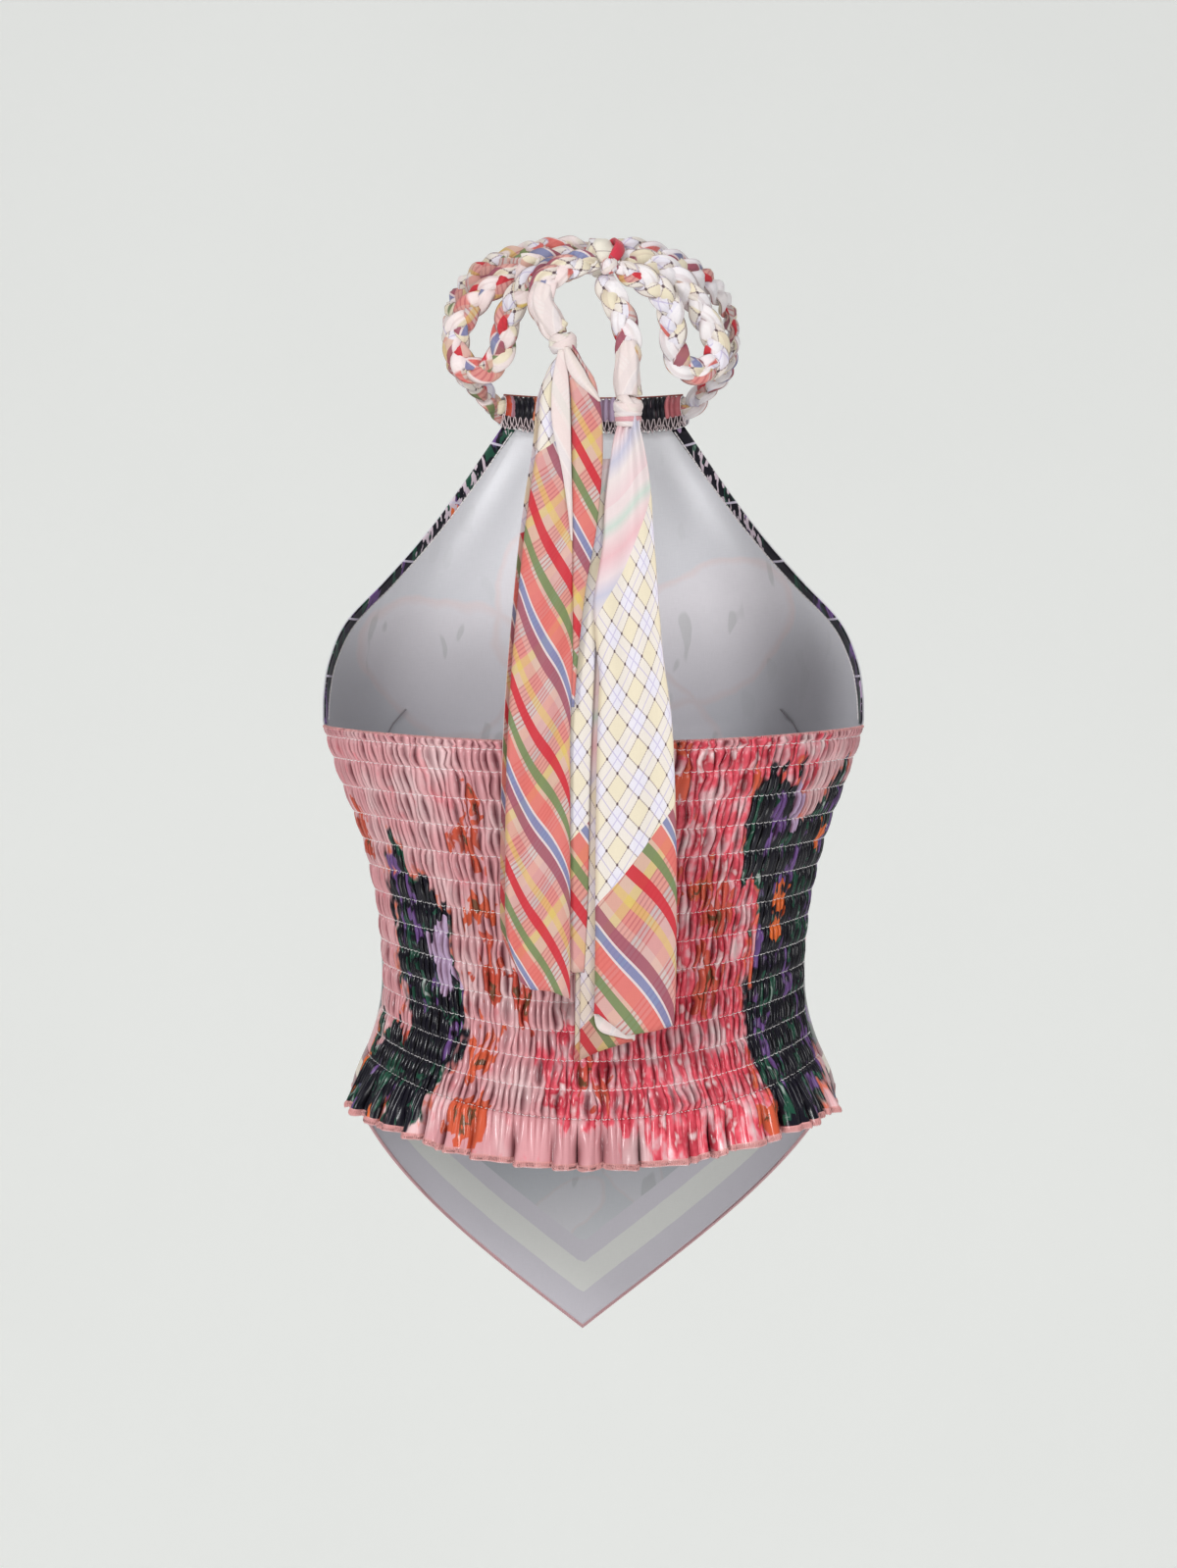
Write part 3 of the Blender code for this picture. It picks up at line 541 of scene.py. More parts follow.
def front_points(across, z):
    """Points of the front panel: across runs from -1 at one edge to 1 at the other."""
    half_width, edge_y, centre_y, sweep = CHEST_COLUMNS.at(z)
    full = np.radians(sweep)
    angle = across * full
    chest_x = half_width * np.sin(angle) / np.sin(full)
    chest_y = centre_y - (centre_y - edge_y) * (1 - np.cos(angle)) / (1 - np.cos(full))
    torso = torso_points(np.minimum(z, UNDERARM_Z), across * seam_sweep(z))
    above = z > UNDERARM_Z
    x = np.where(above, chest_x, torso[..., 0])
    y = np.where(above, chest_y, torso[..., 1])
    fall_x = (np.abs(x) - BUST_X) / BUST_SPREAD
    fall_z = (z - BUST_Z) / BUST_SPREAD
    y = y + BUST_RISE * np.exp(-(fall_x**2) - fall_z**2) * (1 - across**4)
    below_neck = CHEST[1][0] - z
    fade = np.exp(-((below_neck / NECK_FOLD_LENGTH) ** 2)) * (1 - across**6)
    y = y + NECK_FOLD_DEPTH * fade * np.cos(NECK_FOLDS * np.pi * across)
    return stacked(x, y, z)


def hem_share(across):
    """Share of the way from the hem's point up to the side seam."""
    return HEM_RISE * across - (HEM_RISE - 1) * across**8


def shirr_heights():
    """Heights at the centre back of the top edge and of each row of elastic thread."""
    heights = [SHIRR_TOP_Z, SHIRR_TOP_Z - SHIRR_HEADING]
    heights.append(heights[-1] - SHIRR_FIRST_GAP)
    while len(heights) < SHIRR_ROWS + 1:
        heights.append(heights[-1] - SHIRR_GAP)
    return heights


def shirr_droop(centre_z):
    """How far a row hangs lower at the centre back than at the side seams."""
    depth = (centre_z - SHIRR_TOP_Z) / (shirr_heights()[-1] - SHIRR_TOP_Z)
    return SHIRR_DROOP_TOP + (SHIRR_DROOP_LOW - SHIRR_DROOP_TOP) * depth**2


def back_points(centre_z, turn, out, drop=0.0):
    """Points of the back panel: turn runs from -1 at one side seam to 1 at the other."""
    bend = np.cos(turn * np.pi / 2)
    z = centre_z + shirr_droop(centre_z) * (1 - 0.5 * (bend + bend**2)) - drop
    half_width = TORSO_COLUMNS.at(z)[0]
    reach = np.pi - seam_sweep(z) - SEAM_GAP / half_width
    return torso_points(z, np.pi - turn * reach, out)


def smooth_route(points, step):
    """Points a step apart on a smooth curve through the given points."""
    pts = [Vector(p) for p in points]
    parts = 12
    fine = []
    for i in range(len(pts) - 1):
        p0 = pts[max(i - 1, 0)]
        p1 = pts[i]
        p2 = pts[i + 1]
        p3 = pts[min(i + 2, len(pts) - 1)]
        for k in range(parts):
            t = k / parts
            fine.append(
                0.5 * (2 * p1 + (p2 - p0) * t + (2 * p0 - 5 * p1 + 4 * p2 - p3) * t**2
                       + (3 * p1 - p0 - 3 * p2 + p3) * t**3)
            )
    fine.append(pts[-1])
    run = [0.0]
    for a, b in zip(fine, fine[1:]):
        run.append(run[-1] + (b - a).length)
    count = max(2, round(run[-1] / step))
    route = []
    at = 0
    for k in range(count + 1):
        want = run[-1] * k / count
        while at < len(run) - 2 and run[at + 1] < want:
            at += 1
        part = (want - run[at]) / max(run[at + 1] - run[at], 1e-9)
        route.append(fine[at].lerp(fine[at + 1], min(max(part, 0.0), 1.0)))
    return route


def route_length(points):
    return sum((b - a).length for a, b in zip(points, points[1:]))


# Making meshes from rows of points

THREAD_PRINT_WIDTH = 0.002


def unit(vectors):
    return vectors / np.maximum(np.linalg.norm(vectors, axis=-1, keepdims=True), 1e-12)


def grid_normals(points):
    """The way that each point of a grid faces, along across x down."""
    return unit(np.cross(np.gradient(points, axis=1), np.gradient(points, axis=0)))


def run_along(path):
    """Distance of each point of a path from its start."""
    return np.concatenate(([0.0], np.cumsum(np.linalg.norm(np.diff(path, axis=0), axis=1))))


def points_at(at, run, values):
    """A path's points, or directions, at distances from its start."""
    return np.stack([np.interp(at, run, values[:, k]) for k in range(3)], axis=-1)


def angles_round(sides):
    return 2 * np.pi * np.arange(sides) / sides


def rings_along(path, across, out, wide, deep):
    """Rings of points round a path: how far each lies across it and out of it."""
    return path[:, None] + (across[:, None] * wide[..., None] + out[:, None] * deep[..., None])


def add_uv_map(mesh, name, corner_uv):
    """A UV map from one pair of numbers for each face corner in turn."""
    mesh.uv_layers.new(name=name).data.foreach_set("uv", np.asarray(corner_uv, np.float32).ravel())


def linked(name, data):
    """A new object in the scene."""
    made = bpy.data.objects.new(name, data)
    bpy.context.scene.collection.objects.link(made)
    return made


def mesh_object(name, points, faces, corner_uv, mats, face_mats=None):
    """A smooth mesh with the UV map of its flat cloth."""
    mesh = bpy.data.meshes.new(name)
    mesh.from_pydata(np.asarray(points).reshape(-1, 3).tolist(), [], faces)
    add_uv_map(mesh, "cloth", corner_uv)
    for mat in mats:
        mesh.materials.append(mat)
    if face_mats is not None:
        mesh.polygons.foreach_set("material_index", face_mats)
    mesh.shade_smooth()
    return linked(name, mesh)


def grid_faces(rows, cols, first=0, turned=False):
    """Quads over a grid of points, as an array of point numbers."""
    corner = first + np.arange(rows * cols).reshape(rows, cols)
    quads = np.stack(
        (corner[:-1, :-1], corner[:-1, 1:], corner[1:, 1:], corner[1:, :-1]), axis=-1
    ).reshape(-1, 4)
    return quads[:, ::-1] if turned else quads


def rim_faces(rows, cols, turned):
    """Quads that close the edge between the outer and the inner face of a wall."""
    outer = np.arange(rows * cols).reshape(rows, cols)
    inner = outer + rows * cols
    quads = []
    for line, back in ((outer[0], inner[0]), (outer[:, -1], inner[:, -1]),
                       (outer[-1, ::-1], inner[-1, ::-1]), (outer[::-1, 0], inner[::-1, 0])):
        quads.append(np.stack((line[1:], line[:-1], back[:-1], back[1:]), axis=-1))
    quads = np.concatenate(quads)
    return quads[:, ::-1] if turned else quads


def cloth_wall(name, points, thickness, uv, mats, side=1.0, unshaded=1.0, from_hem=1.0):
    """A wall of even thickness on a grid of points.

    side is 1 where the outer face looks along across x down, and -1 where it looks the other way.
    The outer face has the first material, the inner face and the edges the last one. The second UV
    map holds the painted shade, from 0 darkest deep in a fold to 1 unshaded, and the distance from the hem
    in metres.
    """
    rows, cols = points.shape[:2]
    half = grid_normals(points) * side * thickness / 2
    both = np.concatenate(((points + half).reshape(-1, 3), (points - half).reshape(-1, 3)))
    turned = side < 0
    front = grid_faces(rows, cols, 0, turned)
    back = grid_faces(rows, cols, rows * cols, not turned)
    faces = np.concatenate((front, back, rim_faces(rows, cols, turned)))
    corner = faces.ravel()
    flat = np.tile(uv.reshape(-1, 2), (2, 1))[corner]
    shade = np.stack(np.broadcast_arrays(unshaded, from_hem, uv[..., 0])[:2], axis=-1)
    shade = np.tile(shade.reshape(-1, 2), (2, 1))[corner]
    which = np.zeros(len(faces), np.int32)
    which[len(front):] = len(mats) - 1
    made = mesh_object(name, both, faces.tolist(), flat, mats, which)
    add_uv_map(made.data, "shade", shade)
    return made


def tube_arrays(rings, uv_around, uv_along):
    """Points, faces and corner UVs of one tube with closed ends through rings of points."""
    count, sides = rings.shape[:2]
    faces = []
    corners = []
    for k in range(count - 1):
        for s in range(sides):
            n = (s + 1) % sides
            faces.append([k * sides + s, k * sides + n, (k + 1) * sides + n, (k + 1) * sides + s])
            for step, turn in ((k, s), (k, s + 1), (k + 1, s + 1), (k + 1, s)):
                corners.append((uv_around * turn / sides, uv_along[step]))
    faces.append(list(reversed(range(sides))))
    faces.append([(count - 1) * sides + s for s in range(sides)])
    corners += [(0.0, uv_along[0])] * sides + [(0.0, uv_along[-1])] * sides
    return rings.reshape(-1, 3), faces, corners


def joined_tubes(name, tubes, mats, face_mats=None):
    """One mesh from several tubes, each given as its points, faces and corner UVs."""
    points = []
    faces = []
    corners = []
    which = []
    first = 0
    for number, (pts, own_faces, own_corners) in enumerate(tubes):
        points.append(pts)
        faces += [[first + v for v in face] for face in own_faces]
        corners += own_corners
        which += [face_mats[number] if face_mats else 0] * len(own_faces)
        first += len(pts)
    return mesh_object(name, np.concatenate(points), faces, corners, mats, which)


def frames_along(path, facing):
    """Direction along a path, across it and out of it, where facing says what is out."""
    ahead = unit(np.gradient(path, axis=0))
    out = unit(facing - ahead * np.sum(facing * ahead, axis=1, keepdims=True))
    across = unit(np.cross(ahead, out))
    return ahead, across, out


def round_tube(path, radius, sides=4, facing=(0.0, 0.0, 1.0)):
    """A thin round tube through an array of points."""
    look = np.broadcast_to(np.asarray(facing, float), path.shape) + 1e-4
    _, across, out = frames_along(path, look)
    angle = angles_round(sides)
    rings = path[:, None] + radius * (
        across[:, None] * np.cos(angle)[None, :, None] + out[:, None] * np.sin(angle)[None, :, None]
    )
    return tube_arrays(rings, THREAD_PRINT_WIDTH, run_along(path))


def finish(piece, slot, *nodes):
    """Fastens a piece to the part's body and hides the parts of the model that it stands for. The finish
    it is given is not used.
    """
    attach(piece, "root")
    if nodes:
        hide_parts(*nodes)
    return piece


# Nodes


class Recipe:
    """Adds nodes to a tree. An input may be a socket or a plain value."""

    def __init__(self, tree):
        self.tree = tree

    def node(self, kind, *values, **settings):
        made = self.tree.nodes.new(kind)
        for key, value in settings.items():
            setattr(made, key, value)
        for socket, value in zip(made.inputs, values):
            self.feed(socket, value)
        return made

    def feed(self, socket, value):
        if isinstance(value, bpy.types.NodeSocket):
            self.tree.links.new(value, socket)
        elif socket.type == "RGBA" and value is not None:
            socket.default_value = (*tuple(value)[:3], 1.0)
        elif value is not None:
            socket.default_value = value

    def put(self, made, **values):
        """Feeds a node's inputs by name, where an underscore stands for a space."""
        for key, value in values.items():
            self.feed(made.inputs[key.replace("_", " ")], value)
        return made

    def math(self, operation, a, b=None, c=None, clamp=False):
        return self.node("ShaderNodeMath", a, b, c, operation=operation, use_clamp=clamp).outputs[0]

    def times(self, a, b):
        return self.math("MULTIPLY", a, b)

    def plus(self, a, b):
        return self.math("ADD", a, b)

    def minus(self, a, b, clamp=False):
        return self.math("SUBTRACT", a, b, clamp=clamp)

    def below(self, value, edge):
        """1 where a value is less than an edge, 0 elsewhere."""
        return self.math("LESS_THAN", value, edge)

    def above(self, value, edge):
        """1 where a value is more than an edge, 0 elsewhere."""
        return self.math("GREATER_THAN", value, edge)

    def highest(self, values):
        """The greatest of several values."""
        total = values[0]
        for value in values[1:]:
            total = self.math("MAXIMUM", total, value)
        return total

    def vector(self, operation, a, b=None):
        made = self.node("ShaderNodeVectorMath", a, b, operation=operation)
        return made.outputs["Value" if operation == "LENGTH" else "Vector"]

    def scaled(self, vector, amount):
        made = self.node("ShaderNodeVectorMath", vector, operation="SCALE")
        return self.put(made, Scale=amount).outputs["Vector"]

    def place(self, vector, shift=(0, 0, 0), turn=0.0, scale=(1, 1, 1)):
        made = self.node("ShaderNodeMapping", vector)
        return self.put(made, Location=shift, Rotation=(0.0, 0.0, turn), Scale=scale).outputs[0]

    def noise(self, vector, scale, detail=2.0, rough=0.5, colour=False):
        made = self.node("ShaderNodeTexNoise", vector)
        self.put(made, Scale=scale, Detail=detail, Roughness=rough)
        return made.outputs["Color" if colour else "Fac"]

    def strokes(self, vector, scale, detail=1.0, rough=0.5, shift=(0, 0, 0), turn=0.0, colour=False):
        """Noise drawn out one way, as brush strokes and threads are."""
        placed = self.place(vector, shift, turn, (*scale, 1))
        return self.noise(placed, 1.0, detail, rough, colour)

    def mix(self, share, a, b, blend="MIX"):
        made = self.tree.nodes.new("ShaderNodeMix")
        made.data_type = "RGBA"
        made.blend_type = blend
        for socket, value in ((made.inputs[0], share), (made.inputs[6], a), (made.inputs[7], b)):
            self.feed(socket, value)
        return made.outputs[2]

    def ramp(self, value, stops, steps=False):
        """Colours by value. A stop is a position and a colour, which may hold a fourth number."""
        made = self.node("ShaderNodeValToRGB", value)
        made.color_ramp.interpolation = "CONSTANT" if steps else "LINEAR"
        marks = made.color_ramp.elements
        while len(marks) < len(stops):
            marks.new(0.5)
        for mark, (position, _) in zip(marks, stops):
            mark.position = position
        for mark, (_, colour) in zip(marks, stops):
            mark.color = (*colour[:3], colour[3] if len(colour) > 3 else 1.0)
        return made

    def step(self, value, edge, soft=0.02):
        """0 below the edge and 1 above it, with a soft change."""
        made = self.node("ShaderNodeMapRange", interpolation_type="SMOOTHSTEP")
        return self.put(made, Value=value, From_Min=edge - soft, From_Max=edge + soft).outputs[0]

    def bump(self, shader, height, strength, distance):
        """Feeds a shader's normal with the bump of a height."""
        made = self.node("ShaderNodeBump")
        self.put(made, Strength=strength, Distance=distance, Height=height)
        self.feed(shader.inputs["Normal"], made.outputs[0])

    def parts(self, vector):
        return self.node("ShaderNodeSeparateXYZ", vector).outputs

    def uv(self, name="cloth"):
        return self.node("ShaderNodeUVMap", uv_map=name).outputs[0]

    def group(self, tree, *values):
        made = self.node("ShaderNodeGroup", node_tree=tree)
        for socket, value in zip(made.inputs, values):
            self.feed(socket, value)
        return made.outputs


def new_group(name, inputs, outputs):
    """An empty node group, its recipe, its input sockets and its output node."""
    tree = bpy.data.node_groups.new(name, "ShaderNodeTree")
    for label, kind in inputs:
        tree.interface.new_socket(label, in_out="INPUT", socket_type="NodeSocket" + kind)
    for label, kind in outputs:
        tree.interface.new_socket(label, in_out="OUTPUT", socket_type="NodeSocket" + kind)
    recipe = Recipe(tree)
    given = tree.nodes.new("NodeGroupInput").outputs
    result = tree.nodes.new("NodeGroupOutput").inputs
    return tree, recipe, given, result


def new_material(name, roughness, **shader_values):
    """A material with its recipe and shader. What is even all over is set on the shader itself."""
    made = bpy.data.materials.new(name)
    made.use_nodes = True
    shader = made.node_tree.nodes["Principled BSDF"]
    recipe = Recipe(made.node_tree)
    recipe.put(shader, Roughness=roughness, **shader_values)
    return made, recipe, shader


def shades(colour, darker, lighter):
    """A darker and a lighter shade of a colour."""
    return [c * darker for c in colour], [min(c * lighter, 1.0) for c in colour]


def thread_grain_group():
    """Uneven threads that cross each other, from 0 to 1."""
    tree, r, given, result = new_group("thread_grain", [("Vector", "Vector")], [("Grain", "Float")])
    warp = r.strokes(given[0], (2600, 160))
    weft = r.strokes(given[0], (160, 2600))
    r.feed(result[0], r.times(r.plus(warp, weft), 0.5))
    return tree


FULL_SPIN = 6.28
BLOSSOM_SCATTER = 0.75
FLAT = (1.0, 1.0, 0.0)
GREY = (0.5, 0.5, 0.5)


def blossom_group():
    """Blossoms scattered one to a cell: its petals, its heart and its random number."""
    tree, r, given, result = new_group(
        "blossom",
        [("Vector", "Vector"), ("Cells", "Float"), ("Petals", "Float"), ("Size", "Float")],
        [("Petals", "Float"), ("Heart", "Float"), ("Random", "Float")],
    )
    cells = r.node("ShaderNodeTexVoronoi", given[0], voronoi_dimensions="2D")
    r.put(cells, Scale=given[1], Randomness=BLOSSOM_SCATTER)
    offset = r.vector("SUBTRACT", given[0], cells.outputs["Position"])
    x, y, _ = r.parts(offset)
    random_part = r.parts(cells.outputs["Color"])
    spin = r.times(random_part[0], FULL_SPIN)
    angle = r.plus(r.math("ARCTAN2", y, x), spin)
    wave = r.math("SINE", r.times(angle, given[2]))
    wobble = r.times(r.noise(given[0], 160.0, 2.0), 0.30)
    edge = r.plus(r.math("MULTIPLY_ADD", wave, 0.20, 0.66), wobble)
    size = r.times(given[3], r.math("MULTIPLY_ADD", random_part[1], 0.5, 0.6))
    reach = r.math("DIVIDE", r.vector("LENGTH", offset), r.times(size, edge))
    r.feed(result[0], r.minus(1.0, r.step(reach, 1.0, 0.06)))
    r.feed(result[1], r.minus(1.0, r.step(reach, 0.30, 0.08)))
    r.feed(result[2], random_part[2])
    return tree


def blob(r, vector, centre, radii, turn=0.0):
    """1 at the middle of an oval and 0 from its edge outwards."""
    made = r.node("ShaderNodeMapping", vector, vector_type="TEXTURE")
    r.put(made, Location=(*centre, 0.0), Rotation=(0.0, 0.0, turn), Scale=(*radii, 1.0))
    flat = r.vector("MULTIPLY", made.outputs[0], FLAT)
    return r.minus(1.0, r.vector("LENGTH", flat), clamp=True)


# Areas of the print on the flat cloth: middle across and up, half width, half height, turn
DARK_AREAS = (
    ("across", "up", "half_width", "half_height", "turn"),
    (0.205, -0.395, 0.075, 0.130, -0.35),
    (0.150, -0.330, 0.035, 0.060, 0.50),
    (-0.155, -0.405, 0.045, 0.085, 0.25),
    (-0.230, -0.480, 0.110, 0.045, 0.10),
    (0.300, -0.500, 0.090, 0.040, 0.00),
    (-0.110, -0.160, 0.060, 0.090, -0.60),
    (0.120, -0.180, 0.050, 0.110, 0.70),
    (-0.050, -0.085, 0.014, 0.060, 0.00),
)
CORAL_AREAS = (
    ("across", "up", "half_width", "half_height", "turn"),
    (0.080, -0.400, 0.085, 0.170, 0.10),
    (0.020, -0.440, 0.080, 0.045, 0.00),
    (0.110, -0.500, 0.080, 0.030, 0.00),
    (0.130, -0.275, 0.060, 0.030, 0.00),
    (0.050, -0.200, 0.060, 0.060, 0.00),
)


def area_mask(r, vector, table, edge):
    """Where any of a table's ovals lies, with the ragged edge of brush work."""
    ovals = [blob(r, vector, row[:2], row[2:4], row[4]) for row in table[1:]]
    return r.step(r.highest(ovals), edge, 0.03)


# Tones of the print that the panel doesn't list
CORAL_TONES = (
    (0.32, (0.84, 0.62, 0.62)),
    (0.43, (0.80, 0.36, 0.40)),
    (0.50, "coral"),
    (0.59, (0.62, 0.045, 0.075)),
    (0.66, (0.86, 0.60, 0.61)),
)
RUST = (0.62, 0.09, 0.06)
HEART_BROWN = (0.18, 0.07, 0.03)
PALE_LEAF = (0.36, 0.44, 0.40)
LILAC = (0.55, 0.40, 0.60)
GHOST_GREY_BLUE = (0.55, 0.66, 0.70)
GHOST_OUTLINE = (0.84, 0.56, 0.50)
GHOST_DABS = (0.36, 0.40, 0.36)


def listed_stops(stops, colours):
    """Stops of a ramp, with each name of a listed colour changed into that colour."""
    return [(at, getattr(colours, tone) if isinstance(tone, str) else tone) for at, tone in stops]


def floral_group(colours, blossoms):
    """A generic painterly floral on the flat cloth, in metres across and up."""
    tree, r, given, result = new_group(
        "floral_print", [("Vector", "Vector")], [("Color", "Color"), ("Night", "Color")])
    flat = given[0]
    wander = r.vector("SUBTRACT", r.strokes(flat, (62, 24), 3.0, 0.62, colour=True), GREY)
    brushed = r.vector("ADD", flat, r.vector("MULTIPLY", wander, (0.050, 0.090, 0.0)))
    fine = r.strokes(flat, (90, 45), 3.0, 0.6)
    broad = r.noise(flat, 26.0, 2.0)
    ground = r.mix(r.step(broad, 0.55, 0.12), colours.pink, colours.blush)
    ground = r.mix(r.times(r.step(fine, 0.62, 0.05), 0.35), ground, colours.coral)
    coral_tone = r.ramp(fine, listed_stops(CORAL_TONES, colours)).outputs[0]
    colour = r.mix(area_mask(r, brushed, CORAL_AREAS, 0.22), ground, coral_tone)
    small = r.group(blossoms, brushed, 26.0, 5.0, 0.015)
    petal_tone = r.mix(small["Random"], colours.orange, RUST)
    shown = r.times(small["Petals"], r.step(small["Random"], 0.60, 0.01))
    colour = r.mix(shown, colour, petal_tone)
    colour = r.mix(r.times(small["Heart"], shown), colour, HEART_BROWN)
    dark = area_mask(r, brushed, DARK_AREAS, 0.16)
    leaves = r.strokes(brushed, (120, 40), 2.0, turn=0.5)
    night = r.mix(r.step(leaves, 0.58, 0.02), colours.navy, colours.leaf)
    night = r.mix(r.step(leaves, 0.69, 0.02), night, PALE_LEAF)
    touches = r.strokes(brushed, (90, 30), shift=(3, 1, 0), turn=-0.3)
    night = r.mix(r.step(touches, 0.63, 0.03), night, colours.violet)
    sprig = r.group(blossoms, r.place(brushed, (0.31, 0.17, 0)), 24.0, 4.0, 0.015)
    sprig_on = r.times(sprig["Petals"], r.step(sprig["Random"], 0.66, 0.01))
    sprig_tone = r.mix(r.step(sprig["Random"], 0.83, 0.01), colours.orange, LILAC)
    night = r.mix(sprig_on, night, sprig_tone)
    rim = r.minus(area_mask(r, brushed, DARK_AREAS, 0.10), dark, clamp=True)
    rim = r.times(rim, r.step(fine, 0.52, 0.03))
    colour = r.mix(r.times(rim, 0.85), colour, petal_tone)
    colour = r.mix(dark, colour, night)
    r.feed(result[0], colour)
    r.feed(result[1], night)
    return tree


# Large petals of the front's print, which show through its reverse: middle, half size and turn
PETALS = (
    ("across", "up", "half_width", "half_height", "turn"),
    (-0.020, -0.175, 0.060, 0.036, 1.20),
    (0.065, -0.205, 0.066, 0.038, 0.45),
    (-0.085, -0.225, 0.068, 0.040, -0.25),
    (0.030, -0.262, 0.062, 0.036, -0.70),
    (-0.040, -0.280, 0.060, 0.034, 0.90),
    (-0.015, -0.535, 0.030, 0.016, 0.50),
    (0.030, -0.515, 0.028, 0.015, -0.60),
)


def ghost_group():
    """The front's print as it shows through the cloth: outlined petals and soft dabs."""
    tree, r, given, result = new_group(
        "print_ghost", [("Vector", "Vector"), ("Ground", "Color")], [("Color", "Color")])
    flat = given[0]
    wander = r.vector("SUBTRACT", r.noise(flat, 30.0, 2.0, 0.5, colour=True), GREY)
    moved = r.vector("ADD", flat, r.scaled(wander, 0.016))
    ovals = [blob(r, moved, row[:2], row[2:4], row[4]) for row in PETALS[1:]]
    rings = [r.times(r.step(oval, 0.02, 0.05), r.minus(1.0, r.step(oval, 0.12, 0.08))) for oval in ovals]
    petal = r.step(r.highest(ovals), 0.02, 0.05)
    cool = r.mix(r.times(r.minus(1.0, petal), 0.34), given[1], GHOST_GREY_BLUE)
    colour = r.mix(r.times(r.highest(rings), 0.28), cool, GHOST_OUTLINE)
    dabs = r.step(r.strokes(moved, (70, 28), turn=0.4), 0.66, 0.02)
    colour = r.mix(r.times(r.times(dabs, petal), 0.28), colour, GHOST_DABS)
    r.feed(result[0], colour)
    return tree


# The tie's plaid: colours across one repeat of its long bars, and of the bars that cross them.
# The fourth number of a long bar's colour says how much of the crossing colour shows through.
LONG_REPEAT = 0.0455
LONG_BARS = (
    (0.000, (0.60, 0.008, 0.024, 0.03)),
    (0.090, (0.72, 0.50, 0.38, 0.70)),
    (0.200, (0.16, 0.24, 0.08, 0.06)),
    (0.285, (0.72, 0.50, 0.36, 0.55)),
    (0.320, (0.74, 0.15, 0.12, 0.16)),
    (0.460, (0.76, 0.68, 0.66, 0.10)),
    (0.478, (0.18, 0.23, 0.42, 0.10)),
    (0.545, (0.76, 0.68, 0.66, 0.10)),
    (0.566, (0.34, 0.08, 0.12, 0.08)),
    (0.660, (0.74, 0.60, 0.50, 0.65)),
    (0.730, (0.74, 0.30, 0.26, 0.60)),
    (0.840, (0.74, 0.54, 0.13, 0.40)),
    (0.910, (0.74, 0.56, 0.48, 0.70)),
)
CROSS_REPEAT = 0.0560
CROSS_BARS = (
    (0.000, (0.58, 0.53, 0.51)),
    (0.130, (0.70, 0.25, 0.21)),
    (0.290, (0.66, 0.42, 0.30)),
    (0.420, (0.66, 0.50, 0.13)),
    (0.500, (0.70, 0.22, 0.18)),
    (0.660, (0.48, 0.42, 0.42)),
    (0.740, (0.64, 0.34, 0.32)),
    (0.900, (0.70, 0.40, 0.32)),
)
LONG_BAR_TURN = math.radians(62)
CROSS_BAR_TURN = math.radians(44)
PINSTRIPE_STEP = 0.0022
PINSTRIPE = (0.42, 0.035, 0.05)
PLAID_TINT = (0.87, 0.84, 0.88)


def repeat_share(r, value, repeat):
    return r.math("FRACT", r.math("DIVIDE", value, repeat))


def plaid_group():
    """Plaid on the bias of the flat cloth."""
    tree, r, given, result = new_group("tie_plaid", [("Vector", "Vector")], [("Color", "Color")])
    x, z, _ = r.parts(given[0])
    long_way = r.plus(r.times(x, math.sin(LONG_BAR_TURN)), r.times(z, math.cos(LONG_BAR_TURN)))
    cross_way = r.minus(r.times(z, math.cos(CROSS_BAR_TURN)), r.times(x, math.sin(CROSS_BAR_TURN)))
    down = r.times(long_way, -1.0)
    warp = r.ramp(repeat_share(r, down, LONG_REPEAT), LONG_BARS, steps=True)
    weft = r.ramp(repeat_share(r, cross_way, CROSS_REPEAT), CROSS_BARS, steps=True)
    pin = r.below(repeat_share(r, cross_way, PINSTRIPE_STEP), 0.36)
    zone = r.below(repeat_share(r, cross_way, CROSS_REPEAT / 2), 0.62)
    lines = r.times(r.times(pin, zone), 0.85)
    weft_colour = r.mix(lines, weft.outputs[0], PINSTRIPE)
    colour = r.mix(warp.outputs[1], warp.outputs[0], weft_colour)
    r.feed(result[0], r.mix(1.0, colour, PLAID_TINT, "MULTIPLY"))
    return tree


DIAMOND_WIDTH = 0.0104
DIAMOND_HEIGHT = 0.0161
DOT_STEP = 0.0011
LATTICE_GROUNDS = (
    (0.0, (0.71, 0.68, 0.75)),
    (0.5, (0.73, 0.67, 0.61)),
    (1.0, (0.73, 0.65, 0.49)),
)
LATTICE_LINE = (0.26, 0.19, 0.20)
LATTICE_CROSSING = (0.09, 0.05, 0.06)
LATTICE_THIN_LINE = (0.42, 0.36, 0.58)


def from_whole(r, value):
    """Distance of a value from the nearest whole number."""
    return from_half(r, r.plus(value, 0.5))


def from_half(r, value):
    """Distance of a value from the middle between two whole numbers."""
    return r.math("ABSOLUTE", r.minus(r.math("FRACT", value), 0.5))


